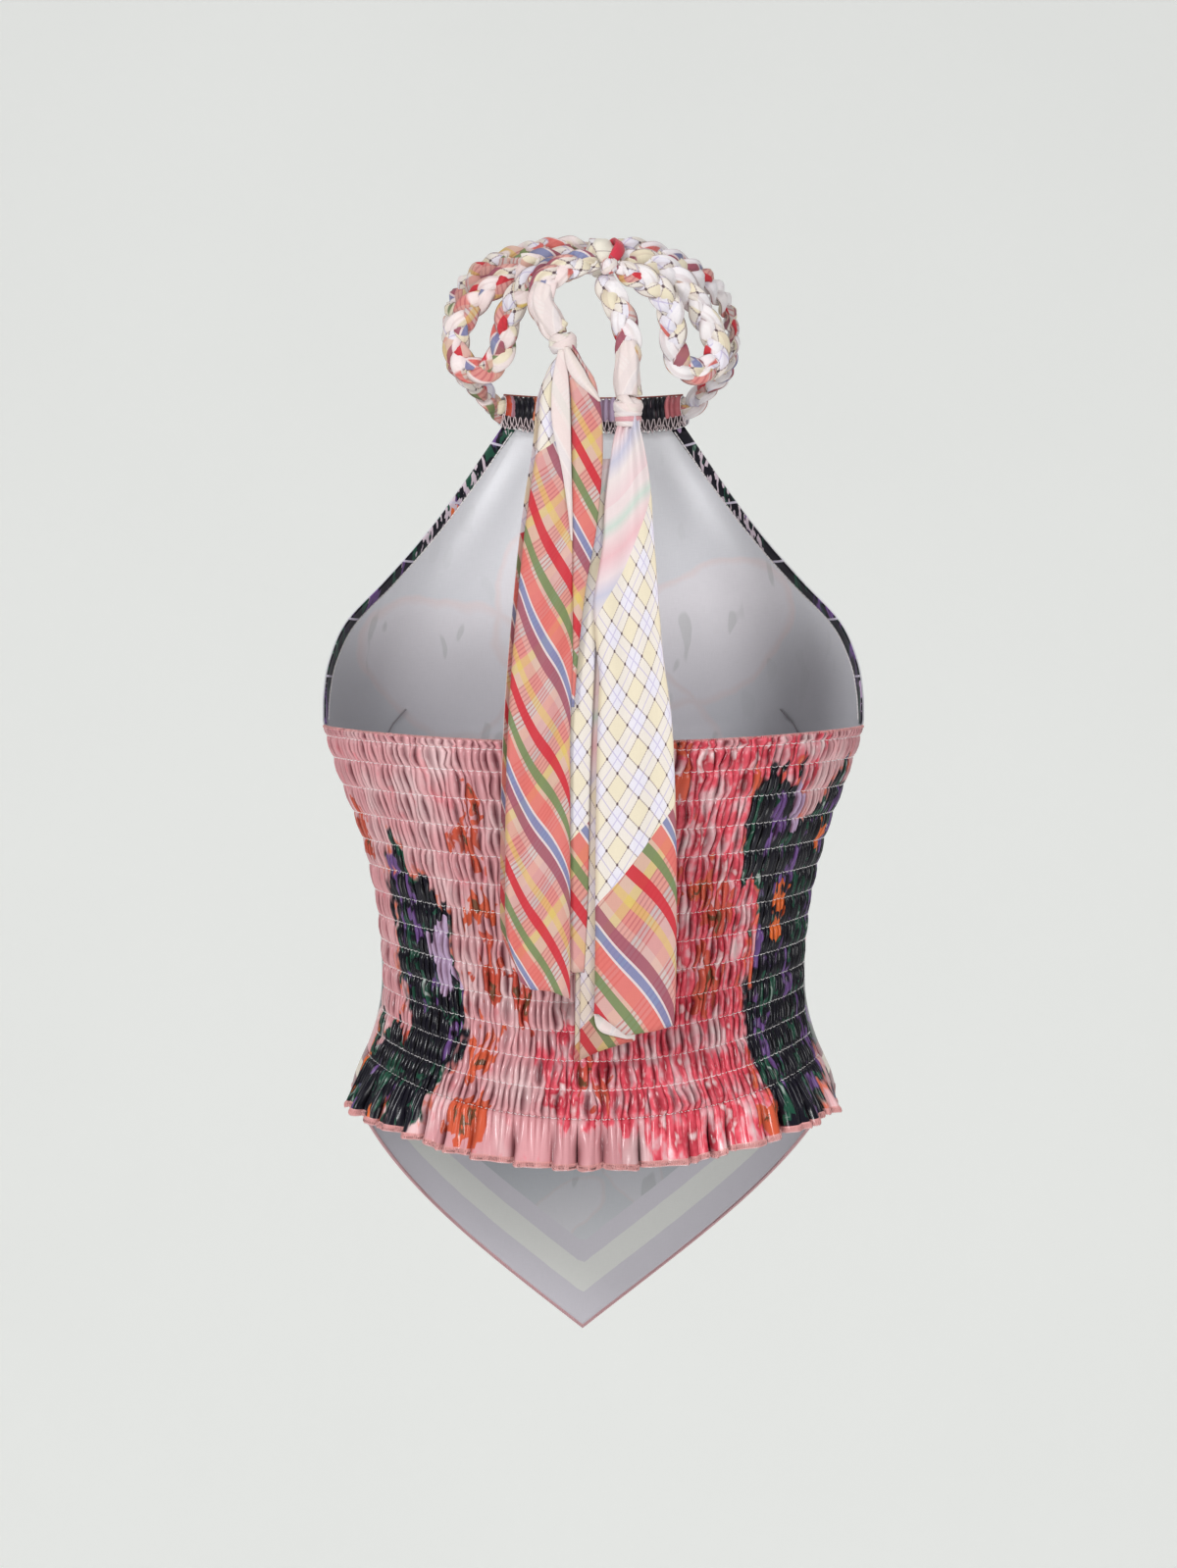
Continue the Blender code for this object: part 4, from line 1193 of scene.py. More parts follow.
def lattice_group():
    """Diamond check with dotted lines and darker crossings."""
    tree, r, given, result = new_group("tie_lattice", [("Vector", "Vector")], [("Color", "Color")])
    x, z, _ = r.parts(given[0])
    wide = r.math("DIVIDE", x, DIAMOND_WIDTH)
    tall = r.math("DIVIDE", z, DIAMOND_HEIGHT)
    one = r.plus(wide, tall)
    two = r.minus(wide, tall)
    odd_one = r.above(repeat_share(r, one, 2.0), 0.5)
    odd_two = r.above(repeat_share(r, two, 2.0), 0.5)
    both = r.times(r.plus(odd_one, odd_two), 0.5)
    ground = r.ramp(both, LATTICE_GROUNDS).outputs[0]
    near_one = from_whole(r, one)
    near_two = from_whole(r, two)
    on_line = r.below(r.math("MINIMUM", near_one, near_two), 0.030)
    dots = r.above(repeat_share(r, z, DOT_STEP), 0.35)
    colour = r.mix(r.times(on_line, r.math("MULTIPLY_ADD", dots, 0.45, 0.35)), ground, LATTICE_LINE)
    crossing = r.below(r.math("MAXIMUM", near_one, near_two), 0.065)
    colour = r.mix(crossing, colour, LATTICE_CROSSING)
    thin_one = r.times(r.below(from_half(r, one), 0.035), r.minus(1.0, odd_one))
    thin_two = r.times(r.below(from_half(r, two), 0.035), r.minus(1.0, odd_two))
    thin = r.math("MAXIMUM", thin_one, thin_two)
    colour = r.mix(r.times(thin, 0.6), colour, LATTICE_THIN_LINE)
    r.feed(result[0], colour)
    return tree


# Bands along the pointed hem: how far from its edge each reaches, and their colours on each side
HEM_BANDS = ((0.0341, "band"), (0.0256, "pale"), (0.0141, "band"), (0.0014, "edge"))
PRINT_BANDS = {"band": (0.26, 0.06, 0.08), "pale": (0.80, 0.70, 0.58), "edge": (0.50, 0.27, 0.29)}
REVERSE_BANDS = {"band": (0.455, 0.435, 0.475), "pale": (0.54, 0.54, 0.52), "edge": (0.54, 0.31, 0.33)}

# Painted shade: what a colour is multiplied by deep in the folds of each finish, where shade falls
SATIN_FOLD_SHADE = (0.20, 0.09, 0.11)
CASING_FOLD_SHADE = (0.30, 0.17, 0.19)
PLAIT_CREASE_SHADE = (0.48, 0.31, 0.30)
TAIL_FOLD_SHADE = (0.45, 0.24, 0.16)

# Painted shadow: the front's reverse side is darker from the back panel's top edge down, where the back
# panel and its frill shade it: drop below the neck, tone
REVERSE_SHADOW_TONES = (
    (0.0, (1.0, 1.0, 1.0)),
    (0.185, (1.0, 0.985, 0.985)),
    (0.262, (0.46, 0.455, 0.47)),
    (0.45, (0.40, 0.40, 0.41)),
    (0.50, (0.38, 0.385, 0.40)),
    (0.56, (0.60, 0.60, 0.60)),
)

# Stretches of colour along the casing: where each starts, as a share of its width
CASING_TONES = (
    (0.00, (0.55, 0.07, 0.03)),
    (0.030, (0.50, 0.26, 0.32)),
    (0.048, "navy"),
    (0.160, (0.62, 0.17, 0.07)),
    (0.200, "navy"),
    (0.38, (0.55, 0.12, 0.12)),
    (0.53, (0.42, 0.32, 0.46)),
    (0.63, (0.60, 0.20, 0.10)),
    (0.70, (0.60, 0.16, 0.08)),
    (0.770, "navy"),
    (0.910, (0.58, 0.17, 0.19)),
)
CASING_STREAK = (0.50, 0.34, 0.40)
# Painted shade under the casing's lace: its dark colour, and the height of its band
CASING_UNDER_LACE_SHADE = (0.045, 0.03, 0.036)
CASING_FOOT_HEIGHT = 0.0052
ARMHOLE_MARK = (0.66, 0.55, 0.62)
ARMHOLE_LINE = (0.60, 0.55, 0.66)
ARMHOLE_LINE_STEP = 0.0330
FRILL_TRIM_HEIGHT = 0.0032

# Soft stripes at the top of the right tail
SOFT_REPEAT = 0.072
SOFT_STRIPES = (
    (0.00, (0.72, 0.54, 0.56)),
    (0.20, (0.72, 0.64, 0.63)),
    (0.34, (0.50, 0.49, 0.60)),
    (0.46, (0.72, 0.60, 0.62)),
    (0.62, (0.72, 0.44, 0.47)),
    (0.76, (0.72, 0.58, 0.58)),
    (0.84, (0.52, 0.60, 0.54)),
    (0.92, (0.72, 0.61, 0.61)),
)
CHECK_LINE = (0.20, 0.13, 0.15)
CHECK_REPEAT = 0.0125
TIE_REVERSE = (0.76, 0.68, 0.66)

# Plaits: where the lattice and the reverse side start in their noise, and the tone of that side
PLAIT_LOOKS = {
    "left": (0.54, 0.56, (0.80, 0.69, 0.68)),
    "right": (0.49, 0.53, (0.80, 0.76, 0.78)),
}

# Slanting lines on the flat tails, as slope and height: lattice above, or soft stripes above
LEFT_CHANGE = (-0.83, -0.0782)
LEFT_CHANGE_END = -0.022
RIGHT_CHANGE = (-1.09, -0.3565)
RIGHT_INNER_END = 0.0040
RIGHT_INNER_FOOT = -0.2506
RIGHT_SOFT = (-1.46, -0.2088)
SOFT_SLOPE = -0.4

WEAVE_HEIGHT = 0.0002
FUZZ_HEIGHT = 0.0001


class Cloths:
    """All the materials, made once."""

    def __init__(self, colours):
        self.colours = colours
        self.grain = thread_grain_group()
        self.floral = floral_group(colours, blossom_group())
        self.ghost = ghost_group()
        self.plaid = plaid_group()
        self.lattice = lattice_group()
        self.print_side = self.printed_satin()
        self.reverse_side = self.satin_reverse("satin_reverse", border=False)
        self.front_reverse = self.satin_reverse("front_reverse", border=True)
        self.front_print = self.printed_satin("front_print", border=True)
        self.frill_print = self.printed_satin("frill_print", trim=colours.overlock)
        self.armhole_print = self.armhole_satin()
        self.casing_print = self.casing_satin()
        self.thread = self.plain_thread("white_thread", colours.thread)
        self.overlock = self.plain_thread("overlock_thread", colours.overlock)
        self.hem_thread = self.plain_thread("hem_thread", (0.62, 0.38, 0.40))
        # Painted shade: the darts' dark grey stands in for the shade along each dart's fold
        self.dart_fold = self.plain_thread("dart_fold", (0.24, 0.22, 0.24))
        self.lace_thread = self.plain_thread("lace_thread", (0.80, 0.66, 0.68))
        self.casing_edge = self.plain_thread("casing_edge", (0.30, 0.07, 0.05))
        self.wrap_pink = self.plain_thread("wrap_pink", (0.62, 0.30, 0.33))
        self.knot_cream = self.plain_cotton("knot_cream", colours.cream)
        self.knot_red = self.plain_cotton("knot_red", colours.red)
        self.plait_left = self.tie_cotton("tie_plait_left", "plait_left")
        self.plait_right = self.tie_cotton("tie_plait_right", "plait_right")
        self.tail_left = self.tie_cotton("tail_left", "left")
        self.tail_right = self.tie_cotton("tail_right", "right")
        self.tie_reverse = self.cotton_reverse()

    def surface(self, r, shader, colour, vector, strength):
        """Feeds a colour that the threads shade a little, and their bump."""
        grain = r.group(self.grain, vector)["Grain"]
        shade = r.math("MULTIPLY_ADD", grain, 0.16, 0.92)
        r.feed(shader.inputs["Base Color"], r.mix(1.0, colour, shade, "MULTIPLY"))
        r.bump(shader, grain, strength, WEAVE_HEIGHT)
        return grain

    def painted_fold_shade(self, r, colour, unshaded, deep):
        """Painted shade: a colour that is multiplied by a deep tone where a fold is closed."""
        return r.mix(unshaded, r.mix(1.0, colour, deep, "MULTIPLY"), colour)

    def bordered(self, r, colour, tones):
        """Three straight bands along the pointed hem, and the thread colour at its very edge."""
        distance = r.parts(r.uv("shade"))[1]
        wobble = r.math("MULTIPLY_ADD", r.noise(r.uv(), 60.0, 1.0), 0.0006, -0.0003)
        distance = r.plus(distance, wobble)
        for reach, tone in HEM_BANDS:
            colour = r.mix(r.below(distance, reach), colour, tones[tone])
        return colour

    def printed_satin(self, name="floral_satin", border=False, trim=None):
        """The printed side, with warmer painted shade deep in the folds."""
        mat, r, shader = new_material(name, 0.3, Anisotropic=0.4, Specular_IOR_Level=0.32)
        uv = r.uv()
        colour = r.group(self.floral, uv)["Color"]
        if border:
            colour = self.bordered(r, colour, PRINT_BANDS)
        unshaded, from_hem, _ = r.parts(r.uv("shade"))
        if trim:
            colour = r.mix(r.below(from_hem, FRILL_TRIM_HEIGHT), colour, trim)
        colour = self.painted_fold_shade(r, colour, unshaded, SATIN_FOLD_SHADE)
        grain = self.surface(r, shader, colour, uv, 0.15)
        r.feed(shader.inputs["Roughness"], r.math("MULTIPLY_ADD", grain, 0.12, 0.16))
        return mat

    def armhole_satin(self):
        """The turned armhole hems: dark print with pale brush marks, densest in their upper half."""
        mat, r, shader = new_material("armhole_print", 0.4, Specular_IOR_Level=0.3)
        uv = r.uv()
        night = r.group(self.floral, uv)["Night"]
        height = r.parts(uv)[1]
        marks = r.strokes(uv, (420, 150), 1.5, turn=0.7)
        share = r.math("MULTIPLY_ADD", r.step(height, -0.158, 0.010), 0.22, 0.26)
        share = r.minus(share, r.times(r.step(height, -0.104, 0.006), 0.20))
        colour = r.mix(r.below(marks, share), night, ARMHOLE_MARK)
        line = r.below(repeat_share(r, height, ARMHOLE_LINE_STEP), 0.035)
        self.surface(r, shader, r.mix(line, colour, ARMHOLE_LINE), uv, 0.2)
        return mat

    def casing_satin(self):
        """Stretches of colour along the gathered channel, with torn edges, painted shade in its gathers
        and a painted shade band under its lace.
        """
        mat, r, shader = new_material("casing_print", 0.34, Anisotropic=0.4, Specular_IOR_Level=0.30)
        uv = r.uv()
        torn = r.strokes(uv, (60, 90), 3.0, 0.6)
        place = r.math("MULTIPLY_ADD", r.parts(uv)[0], 4.85, 0.475)
        place = r.math("MULTIPLY_ADD", torn, 0.05, place)
        tone = r.ramp(place, listed_stops(CASING_TONES, self.colours), steps=True).outputs[0]
        streak = r.step(r.strokes(uv, (240, 90), shift=(2, 5, 0), turn=0.4), 0.70, 0.02)
        colour = r.mix(r.times(streak, 0.45), tone, CASING_STREAK)
        unshaded, from_foot, _ = r.parts(r.uv("shade"))
        # Painted shade: a dark band along the casing's foot, under its lace
        colour = r.mix(r.below(from_foot, CASING_FOOT_HEIGHT), colour, CASING_UNDER_LACE_SHADE)
        self.surface(r, shader, self.painted_fold_shade(r, colour, unshaded, CASING_FOLD_SHADE), uv, 0.15)
        return mat

    def satin_reverse(self, name, border):
        """The unprinted side. On the front, the print shows through faintly, under a painted shadow from
        the back panel's top edge down.
        """
        mat, r, shader = new_material(name, 0.6, Sheen_Weight=0.1)
        uv = r.uv()
        colour = self.colours.reverse
        if border:
            colour = r.group(self.ghost, uv, colour)["Color"]
            drop = r.times(r.parts(uv)[1], -1.0)
            colour = r.mix(1.0, colour, r.ramp(drop, REVERSE_SHADOW_TONES).outputs[0], "MULTIPLY")
            colour = self.bordered(r, colour, REVERSE_BANDS)
        self.surface(r, shader, colour, uv, 0.25)
        return mat

    def plain_thread(self, name, colour):
        mat, r, shader = new_material(name, 0.6, Sheen_Weight=0.2)
        fuzz = r.strokes(r.uv(), (900, 900), 2.0)
        r.feed(shader.inputs["Base Color"], r.mix(fuzz, *shades(colour, 0.82, 1.15)))
        r.bump(shader, fuzz, 0.4, FUZZ_HEIGHT)
        return mat

    def tie_cotton(self, name, kind):
        """One stretch of the tie's cloth, which has a plaid and a lattice check."""
        mat, r, shader = new_material(name, 0.62, Sheen_Weight=0.25)
        uv = r.uv()
        if kind == "right":
            plaid_map = r.place(uv, (-0.0055, 0.0, 0.0), math.radians(-7), (-0.80, -0.80, 1.0))
        else:
            plaid_map = r.place(uv, (0.0100, 0.0, 0.0))
        checks = r.group(self.plaid, plaid_map)["Color"], r.group(self.lattice, uv)["Color"]
        if kind.startswith("plait"):
            colour = self.plait_colour(r, uv, checks, kind.removeprefix("plait_"))
        else:
            tail = self.left_tail_colour if kind == "left" else self.right_tail_colour
            unshaded = r.parts(r.uv("shade"))[0]
            colour = self.painted_fold_shade(r, tail(r, uv, checks), unshaded, TAIL_FOLD_SHADE)
        self.surface(r, shader, colour, uv, 0.3)
        return mat

    def plait_colour(self, r, uv, checks, side):
        """Patches of both checks and of the pale reverse, with painted shade in the creases of the
        strands.
        """
        lattice_from, reverse_from, pale = PLAIT_LOOKS[side]
        colour = r.mix(r.step(r.strokes(uv, (40, 20)), lattice_from, 0.004), *checks)
        turned = r.step(r.strokes(uv, (60, 24), shift=(5, 2, 0)), reverse_from, 0.01)
        colour = r.mix(r.times(turned, 0.92), colour, pale)
        # Painted shade: darker at each strand's edges and along creases, where shade falls between strands
        wave = r.math("SINE", r.times(r.parts(uv)[0], 2 * math.pi / PLAIT_PRINT_WIDTH))
        crease = r.step(r.strokes(uv, (420, 26), shift=(1, 4, 0)), 0.42, 0.05)
        crease = r.math("MULTIPLY_ADD", crease, 0.24, 0.78)
        lit = r.times(r.step(r.math("ABSOLUTE", wave), 0.16, 0.20), crease)
        return self.painted_fold_shade(r, colour, lit, PLAIT_CREASE_SHADE)

    def above_line(self, r, uv, line):
        """1 above a slanting line on the flat cloth."""
        u, v, _ = r.parts(uv)
        return r.above(r.math("MULTIPLY_ADD", u, line[0], v), line[1])

    def left_tail_colour(self, r, uv, checks):
        """Lattice above a slanting line near the left edge, and plaid elsewhere."""
        shown = r.times(self.above_line(r, uv, LEFT_CHANGE), r.below(r.parts(uv)[0], LEFT_CHANGE_END))
        return r.mix(shown, *checks)

    def right_tail_colour(self, r, uv, checks):
        """Plaid below and on the inner layer, lattice above it, and soft stripes at the top."""
        u, v, _ = r.parts(uv)
        inner_layer = r.times(r.below(u, RIGHT_INNER_END), r.above(v, RIGHT_INNER_FOOT))
        shown = r.minus(self.above_line(r, uv, RIGHT_CHANGE), inner_layer, clamp=True)
        colour = r.mix(shown, *checks)
        stripes = repeat_share(r, r.math("MULTIPLY_ADD", u, SOFT_SLOPE, v), SOFT_REPEAT)
        wedge = r.step(r.math("MULTIPLY_ADD", u, RIGHT_SOFT[0], v), RIGHT_SOFT[1], 0.0006)
        return r.mix(wedge, colour, r.ramp(stripes, SOFT_STRIPES).outputs[0])

    def plain_cotton(self, name, colour):
        """Cotton of one colour, a little uneven, with a thin dark check line now and then."""
        mat, r, shader = new_material(name, 0.62, Sheen_Weight=0.25)
        uv = r.uv()
        cloudy = r.mix(r.noise(uv, 90.0, 2.0), *shades(colour, 0.86, 1.08))
        line = r.below(repeat_share(r, r.parts(uv)[1], CHECK_REPEAT), 0.04)
        self.surface(r, shader, r.mix(r.times(line, 0.6), cloudy, CHECK_LINE), uv, 0.3)
        return mat

    def cotton_reverse(self):
        """The tie's reverse side, with a trace of the plaid."""
        mat, r, shader = new_material("tie_reverse", 0.65, Sheen_Weight=0.25)
        uv = r.uv()
        plaid = r.group(self.plaid, uv)["Color"]
        self.surface(r, shader, r.mix(0.12, TIE_REVERSE, plaid), uv, 0.3)
        return mat


CLOTH_STORE = {}


def cloths():
    """The materials, made when the first piece asks for them."""
    if "made" not in CLOTH_STORE:
        CLOTH_STORE["made"] = Cloths(bpy.context.scene.halter_colours)
    return CLOTH_STORE["made"]


# Plaits and knots


def plait_tubes(points, facing, seed, ends, even_from):
    """Three strands of folded cloth that swing over each other along a route.

    Past even_from, where it is given, the strands lie beside each other without swinging.
    """
    rng = random.Random(seed)
    path = np.array([tuple(p) for p in points])
    look = np.array([tuple(facing(p)) for p in points])
    _, across, out = frames_along(path, look)
    along = run_along(path)
    taper = np.ones(len(path))
    for end, distance in (("start", along), ("end", along[-1] - along)):
        if end in ends:
            narrow = END_SHARE + (1 - END_SHARE) * np.clip(distance / END_LENGTH, 0, 1)
            taper = np.minimum(taper, narrow)
    even = np.zeros(len(path))
    if even_from is not None:
        even = np.clip((along - even_from) / EVEN_BLEND, 0.0, 1.0)
    angle = angles_round(STRAND_SIDES)
    tubes = []
    for strand in range(3):
        phase = 2 * np.pi * (along / PLAIT_PITCH + strand / 3) + 0.15 * np.sin(along / 0.011 + seed)
        still = 2 * np.pi * strand / 3 + 0.5
        side = np.sin(phase) * (1 - even) + 0.9 * np.sin(still) * even
        face = np.sin(2 * phase) * (1 - even) + 0.8 * np.sin(2 * still) * even
        centre = path + (across * (PLAIT_SWING * side * taper)[:, None]
                         + out * (PLAIT_DEPTH_SWING * face * taper)[:, None])
        _, own_across, own_out = frames_along(centre, out)
        wide = STRAND_HALF_WIDTH * taper * (1 + 0.12 * np.sin(along / 0.0050 + 2 * strand + seed))
        deep = STRAND_HALF_DEPTH * taper * (1 + 0.14 * np.sin(along / 0.0038 + strand))
        crease = np.abs(np.cos(2.5 * angle[None] + along[:, None] / 0.014 + rng.uniform(0, 6)))
        folds = 0.90 + 0.16 * crease
        folds += 0.05 * np.cos(7 * angle[None] - along[:, None] / 0.006 + rng.uniform(0, 6))
        rings = rings_along(centre, own_across, own_out, wide[:, None] * np.cos(angle) * folds,
                            deep[:, None] * np.sin(angle) * folds)
        shift = rng.uniform(0.0, 0.5)
        tubes.append(tube_arrays(rings, PLAIT_PRINT_WIDTH, along * 1.15 + shift))
    return tubes


def away_from_neck(point):
    return Vector((point.x, point.y, 0.0)).normalized()


def towards_back(_point):
    return Vector((0.0, -1.0, 0.0))


def make_plait(name, route, facing, seed, ends, even_from=None):
    points = smooth_route(route, PLAIT_STEP)
    tubes = plait_tubes(points, facing, seed, ends, even_from)
    mat = cloths().plait_right if "right" in name else cloths().plait_left
    return joined_tubes(name, tubes, [mat]), points


def knot_lump(centre, radii, turns):
    """The body of a knot: an oval lump with the creases of the turns that cross it."""
    rings = 24
    polar = np.linspace(0.02, np.pi - 0.02, rings)[:, None]
    angle = angles_round(40)[None]
    x = np.sin(polar) * np.cos(angle)
    y = np.sin(polar) * np.sin(angle)
    z = np.cos(polar) * np.ones_like(angle)
    crease = 1 + 0.05 * np.cos(turns * np.pi * x + 2 * z) + 0.04 * np.cos(9 * z - 4 * x)
    points = stacked(x * radii.x, y * radii.y, z * radii.z) * crease[..., None] + np.array(centre)
    return tube_arrays(points[:, ::-1], 0.05, np.linspace(0, 0.03, rings))


def knot_band(centre, radii, tilt, lean, width, thickness, shift):
    """A flattened strand wrapped round a knot, tilted from the level and leaning to the back."""
    angle = 2 * np.pi * np.linspace(0, 1, 72)
    level_x = np.cos(angle) * radii.x
    level_y = np.sin(angle) * radii.y
    tilted_z = level_x * math.sin(tilt)
    x = level_x * math.cos(tilt)
    y = level_y * math.cos(lean) - tilted_z * math.sin(lean)
    z = level_y * math.sin(lean) + tilted_z * math.cos(lean)
    path = stacked(x, y, z) + np.array(centre)
    _, across, out = frames_along(path, path - np.array(centre))
    turn = angles_round(14)
    folds = 1 + 0.10 * np.cos(4 * turn[None] + 3 * angle[:, None])
    rings = rings_along(path, across, out, width * np.cos(turn) * folds, thickness * np.sin(turn) * folds)
    return tube_arrays(rings, 0.014, angle * radii.x + shift)


def wrapped_end(name, route, radii, mat):
    """Gathered cloth round the end of a plait, with creases along it."""
    path = np.array([tuple(p) for p in smooth_route(route, 0.0010)])
    _, across, out = frames_along(path, np.tile((0.0, -1.0, 0.1), (len(path), 1)))
    angle = angles_round(36)
    share = np.linspace(0, 1, len(path))
    radius = np.interp(share, np.linspace(0, 1, len(radii)), radii)[:, None]
    crease = 1 + 0.07 * np.cos(5 * angle[None] + 2.5 * share[:, None])
    crease = crease + 0.05 * np.cos(9 * angle[None] - 4 * share[:, None])
    rings = rings_along(path, across, out, radius * np.cos(angle) * crease,
                        0.82 * radius * np.sin(angle) * crease)
    return joined_tubes(name, [tube_arrays(rings, 0.04, share * 0.03)], [mat])


class HALTER_OT_neck_plaits(bpy.types.Operator):
    """Plait the neck straps, the bow's loops and the start of each tail, and tie the knots"""

    bl_idname = "halter.neck_plaits"
    bl_label = "Plaited Tie"

    def execute(self, context):
        loops = (("bow_loop_right", LOOP_RIGHT, 11), ("bow_loop_left", LOOP_LEFT, 23))
        for name, route, seed in loops:
            piece, points = make_plait(name + "_plait", route, towards_back, seed, ("start", "end"))
            finish(piece, "tie_cotton", name)
        knots = {side: self.tail_knot(side, tilt, rings) for side, tilt, rings in TAIL_KNOTS}
        wraps = {}
        for side, route, radii in TAIL_WRAPS:
            wraps[side] = wrapped_end("tail_wrap_" + side, route[-4:], radii, cloths().tie_reverse)
            finish(wraps[side], "tie_cotton")
        tails = (("left", TAIL_LEFT, 5, None), ("right", TAIL_RIGHT, 8, 0.048))
        for side, route, seed, even_from in tails:
            name = "tail_braid_" + side
            piece, points = make_plait(name + "_plait", route, towards_back, seed, ("start",), even_from)
            finish(piece, "tie_cotton", name)
        for side, route, seed in ((1, STRAP_RIGHT, 31), (-1, STRAP_LEFT, 47)):
            inside = [Vector(casing_line(side * x)) for x in STRAP_INSIDE]
            bend = [Vector((side * x, y, z)) for x, y, z in STRAP_BEND]
            points = list(reversed(route)) + list(reversed(bend)) + list(reversed(inside))
            name = "neck_strap_" + ("right" if side > 0 else "left")
            even_from = route_length(smooth_route(points, 0.004)) - STRAP_EVEN_LENGTH
            piece, _ = make_plait(name + "_plait", points, away_from_neck, seed, ("start",), even_from)
            finish(piece, "tie_cotton", name)
        self.bow_knot()
        return {"FINISHED"}

    def tail_knot(self, side, tilt, rings):
        """The knot that ends a tail's plait, with thread rings below it on the right tail."""
        centre = TAIL_KNOT_CENTRE[side]
        radii = TAIL_KNOT_RADII[side]
        parts = [
            knot_lump(centre, radii, 2),
            knot_band(centre, radii * 0.92, tilt, 0.3, 0.0028, 0.0012, 0.21),
            knot_band(centre, radii * 0.92, tilt - 0.9, -0.2, 0.0024, 0.0011, 0.47),
        ]
        for k in range(rings):
            below = centre - Vector((0.0, 0.0, 0.0040 + 0.0026 * k))
            around = radii * (0.90 - 0.04 * k)
            parts.append(knot_band(below, around, 0.10 - 0.08 * k, 0.1, 0.0016, 0.0008, 0.3))
        mats = [cloths().tie_reverse, cloths().wrap_pink, cloths().knot_cream]
        which = [2 if side == "left" else 0, 0, 0] + [0, 1, 0][:rings]
        piece = joined_tubes("tail_knot_" + side + "_wraps", parts, mats, which)
        return finish(piece, "tie_cotton", "tail_knot_" + side)

    def bow_knot(self):
        """The knot at the nape: a cream body, a small wrapped knob, a red strip and a printed one."""
        knob = KNOT_CENTRE + Vector((0.0042, -0.0105, -0.0056))
        strip = KNOT_CENTRE + Vector((0.0040, 0.0010, 0.0018))
        edge = KNOT_CENTRE + Vector((-0.0050, 0.0, 0.0010))
        parts = [
            knot_lump(KNOT_CENTRE, KNOT_RADII * 0.92, 1),
            knot_lump(knob, Vector((0.0050, 0.0044, 0.0046)), 2),
            knot_band(knob, Vector((0.0046, 0.0040, 0.0)), 0.7, 0.4, 0.0016, 0.0008, 0.33),
            knot_band(strip, KNOT_RADII * 0.84, 0.75, 0.5, 0.0034, 0.0013, 0.12),
            knot_band(edge, KNOT_RADII * 0.82, 1.25, 0.3, 0.0040, 0.0016, 0.3),
        ]
        made = cloths()
        mats = [made.knot_cream, made.plait_right, made.knot_red, made.tie_reverse]
        finish(joined_tubes("bow_knot_wraps", parts, mats, [0, 1, 3, 2, 1]), "tie_cotton", "bow_knot")


# Front panel


def front_grid():
    """Points of the front panel, its flat coordinates and the distance of each from the hem."""
    across = np.linspace(-1.0, 1.0, FRONT_COLUMNS + 1)[None]
    share = np.linspace(0.0, 1.0, CHEST_ROWS + 1)[:-1, None]
    top_z = CHEST[1][0]
    z = top_z + (UNDERARM_Z - top_z) * share**0.85
    chest = front_points(across, z)
    line = casing_line(chest[0, :, 0])
    target_z = line[:, 2] - CASING_HALF_HEIGHT * (1 - 0.1 * np.abs(across[0]) ** 6) - SEAM_GAP
    # The top rows bend to follow the casing's lower edge
    near_top = share[:, 0] * 9
    fade = np.interp(near_top, (0, 1, 2), (1.0, 0.35, 0.0))[:, None]
    pull = np.interp(near_top, (0, 1), (1.0, 0.0))[:, None]
    chest[..., 2] += fade * (target_z - top_z)[None]
    chest[..., 1] += pull * (line[:, 1] - chest[0, :, 1])[None]
    heights = [z + shirr_droop(z) for z in shirr_heights()]
    last = heights[-1] - FRILL_DROP
    skirt_top = heights[SKIRT_FROM_ROW]
    side_z = np.linspace(UNDERARM_Z, skirt_top, SIDE_ROWS + 1)[:-1, None]
    middle = front_points(across, side_z)
    share = np.linspace(0.0, 1.0, SKIRT_ROWS + 1)[:, None]
    hem = HEM_TIP_Z + (last - HEM_TIP_Z) * hem_share(np.abs(across))
    sway = HEM_SWAY * share * (1 - across**2)
    skirt = front_points(across + sway, skirt_top + (hem - skirt_top) * share)
    points = np.concatenate((chest, middle, skirt))
    hem_line = np.interp(points[..., 0], skirt[-1, :, 0], skirt[-1, :, 2])
    slope = math.cos(math.atan2(HEM_RISE * (last - HEM_TIP_Z), TORSO[-1][1] * 1.3))
    from_hem = (points[..., 2] - hem_line) * slope
    run = np.cumsum(np.linalg.norm(np.diff(points, axis=1), axis=2), axis=1)
    run = np.concatenate((np.zeros((len(points), 1)), run), axis=1)
    run -= run[:, FRONT_COLUMNS // 2, None]
    uv = np.stack((run, points[..., 2]), axis=-1)
    return points, uv, from_hem


LOOP_STEPS = 8
LOOP_OVERHANG = 0.0002
LOOP_FACING = (0.31, 0.22, 0.93)


def overlock(name, edge, inward, normal, width, pitch, radius, mat, height=0.0007, cross=False):
    """Thread wrapped over a cloth edge in slanting loops, as an overlock machine sews it."""
    run = run_along(edge)
    count = int(run[-1] / pitch * LOOP_STEPS)
    at = np.linspace(0.0, run[-1], count + 1)
    own_inward = unit(points_at(at, run, inward))
    own_normal = unit(points_at(at, run, normal))
    centre = points_at(at, run, edge) + own_inward * (width / 2 - LOOP_OVERHANG)
    tubes = []
    for way in (1, -1) if cross else (1,):
        turn = way * 2 * np.pi * np.arange(count + 1) / LOOP_STEPS
        path = (centre + own_inward * (width / 2 * np.cos(turn))[:, None]
                + own_normal * (height * np.sin(turn))[:, None])
        tubes.append(round_tube(path, radius, 3, LOOP_FACING))
    return joined_tubes(name, tubes, [mat])


def dashes(name, lines, radius, mat):
    """Lengths of thread, each a thin tube through its own points."""
    return joined_tubes(name, [round_tube(line, radius, 4) for line in lines], [mat])


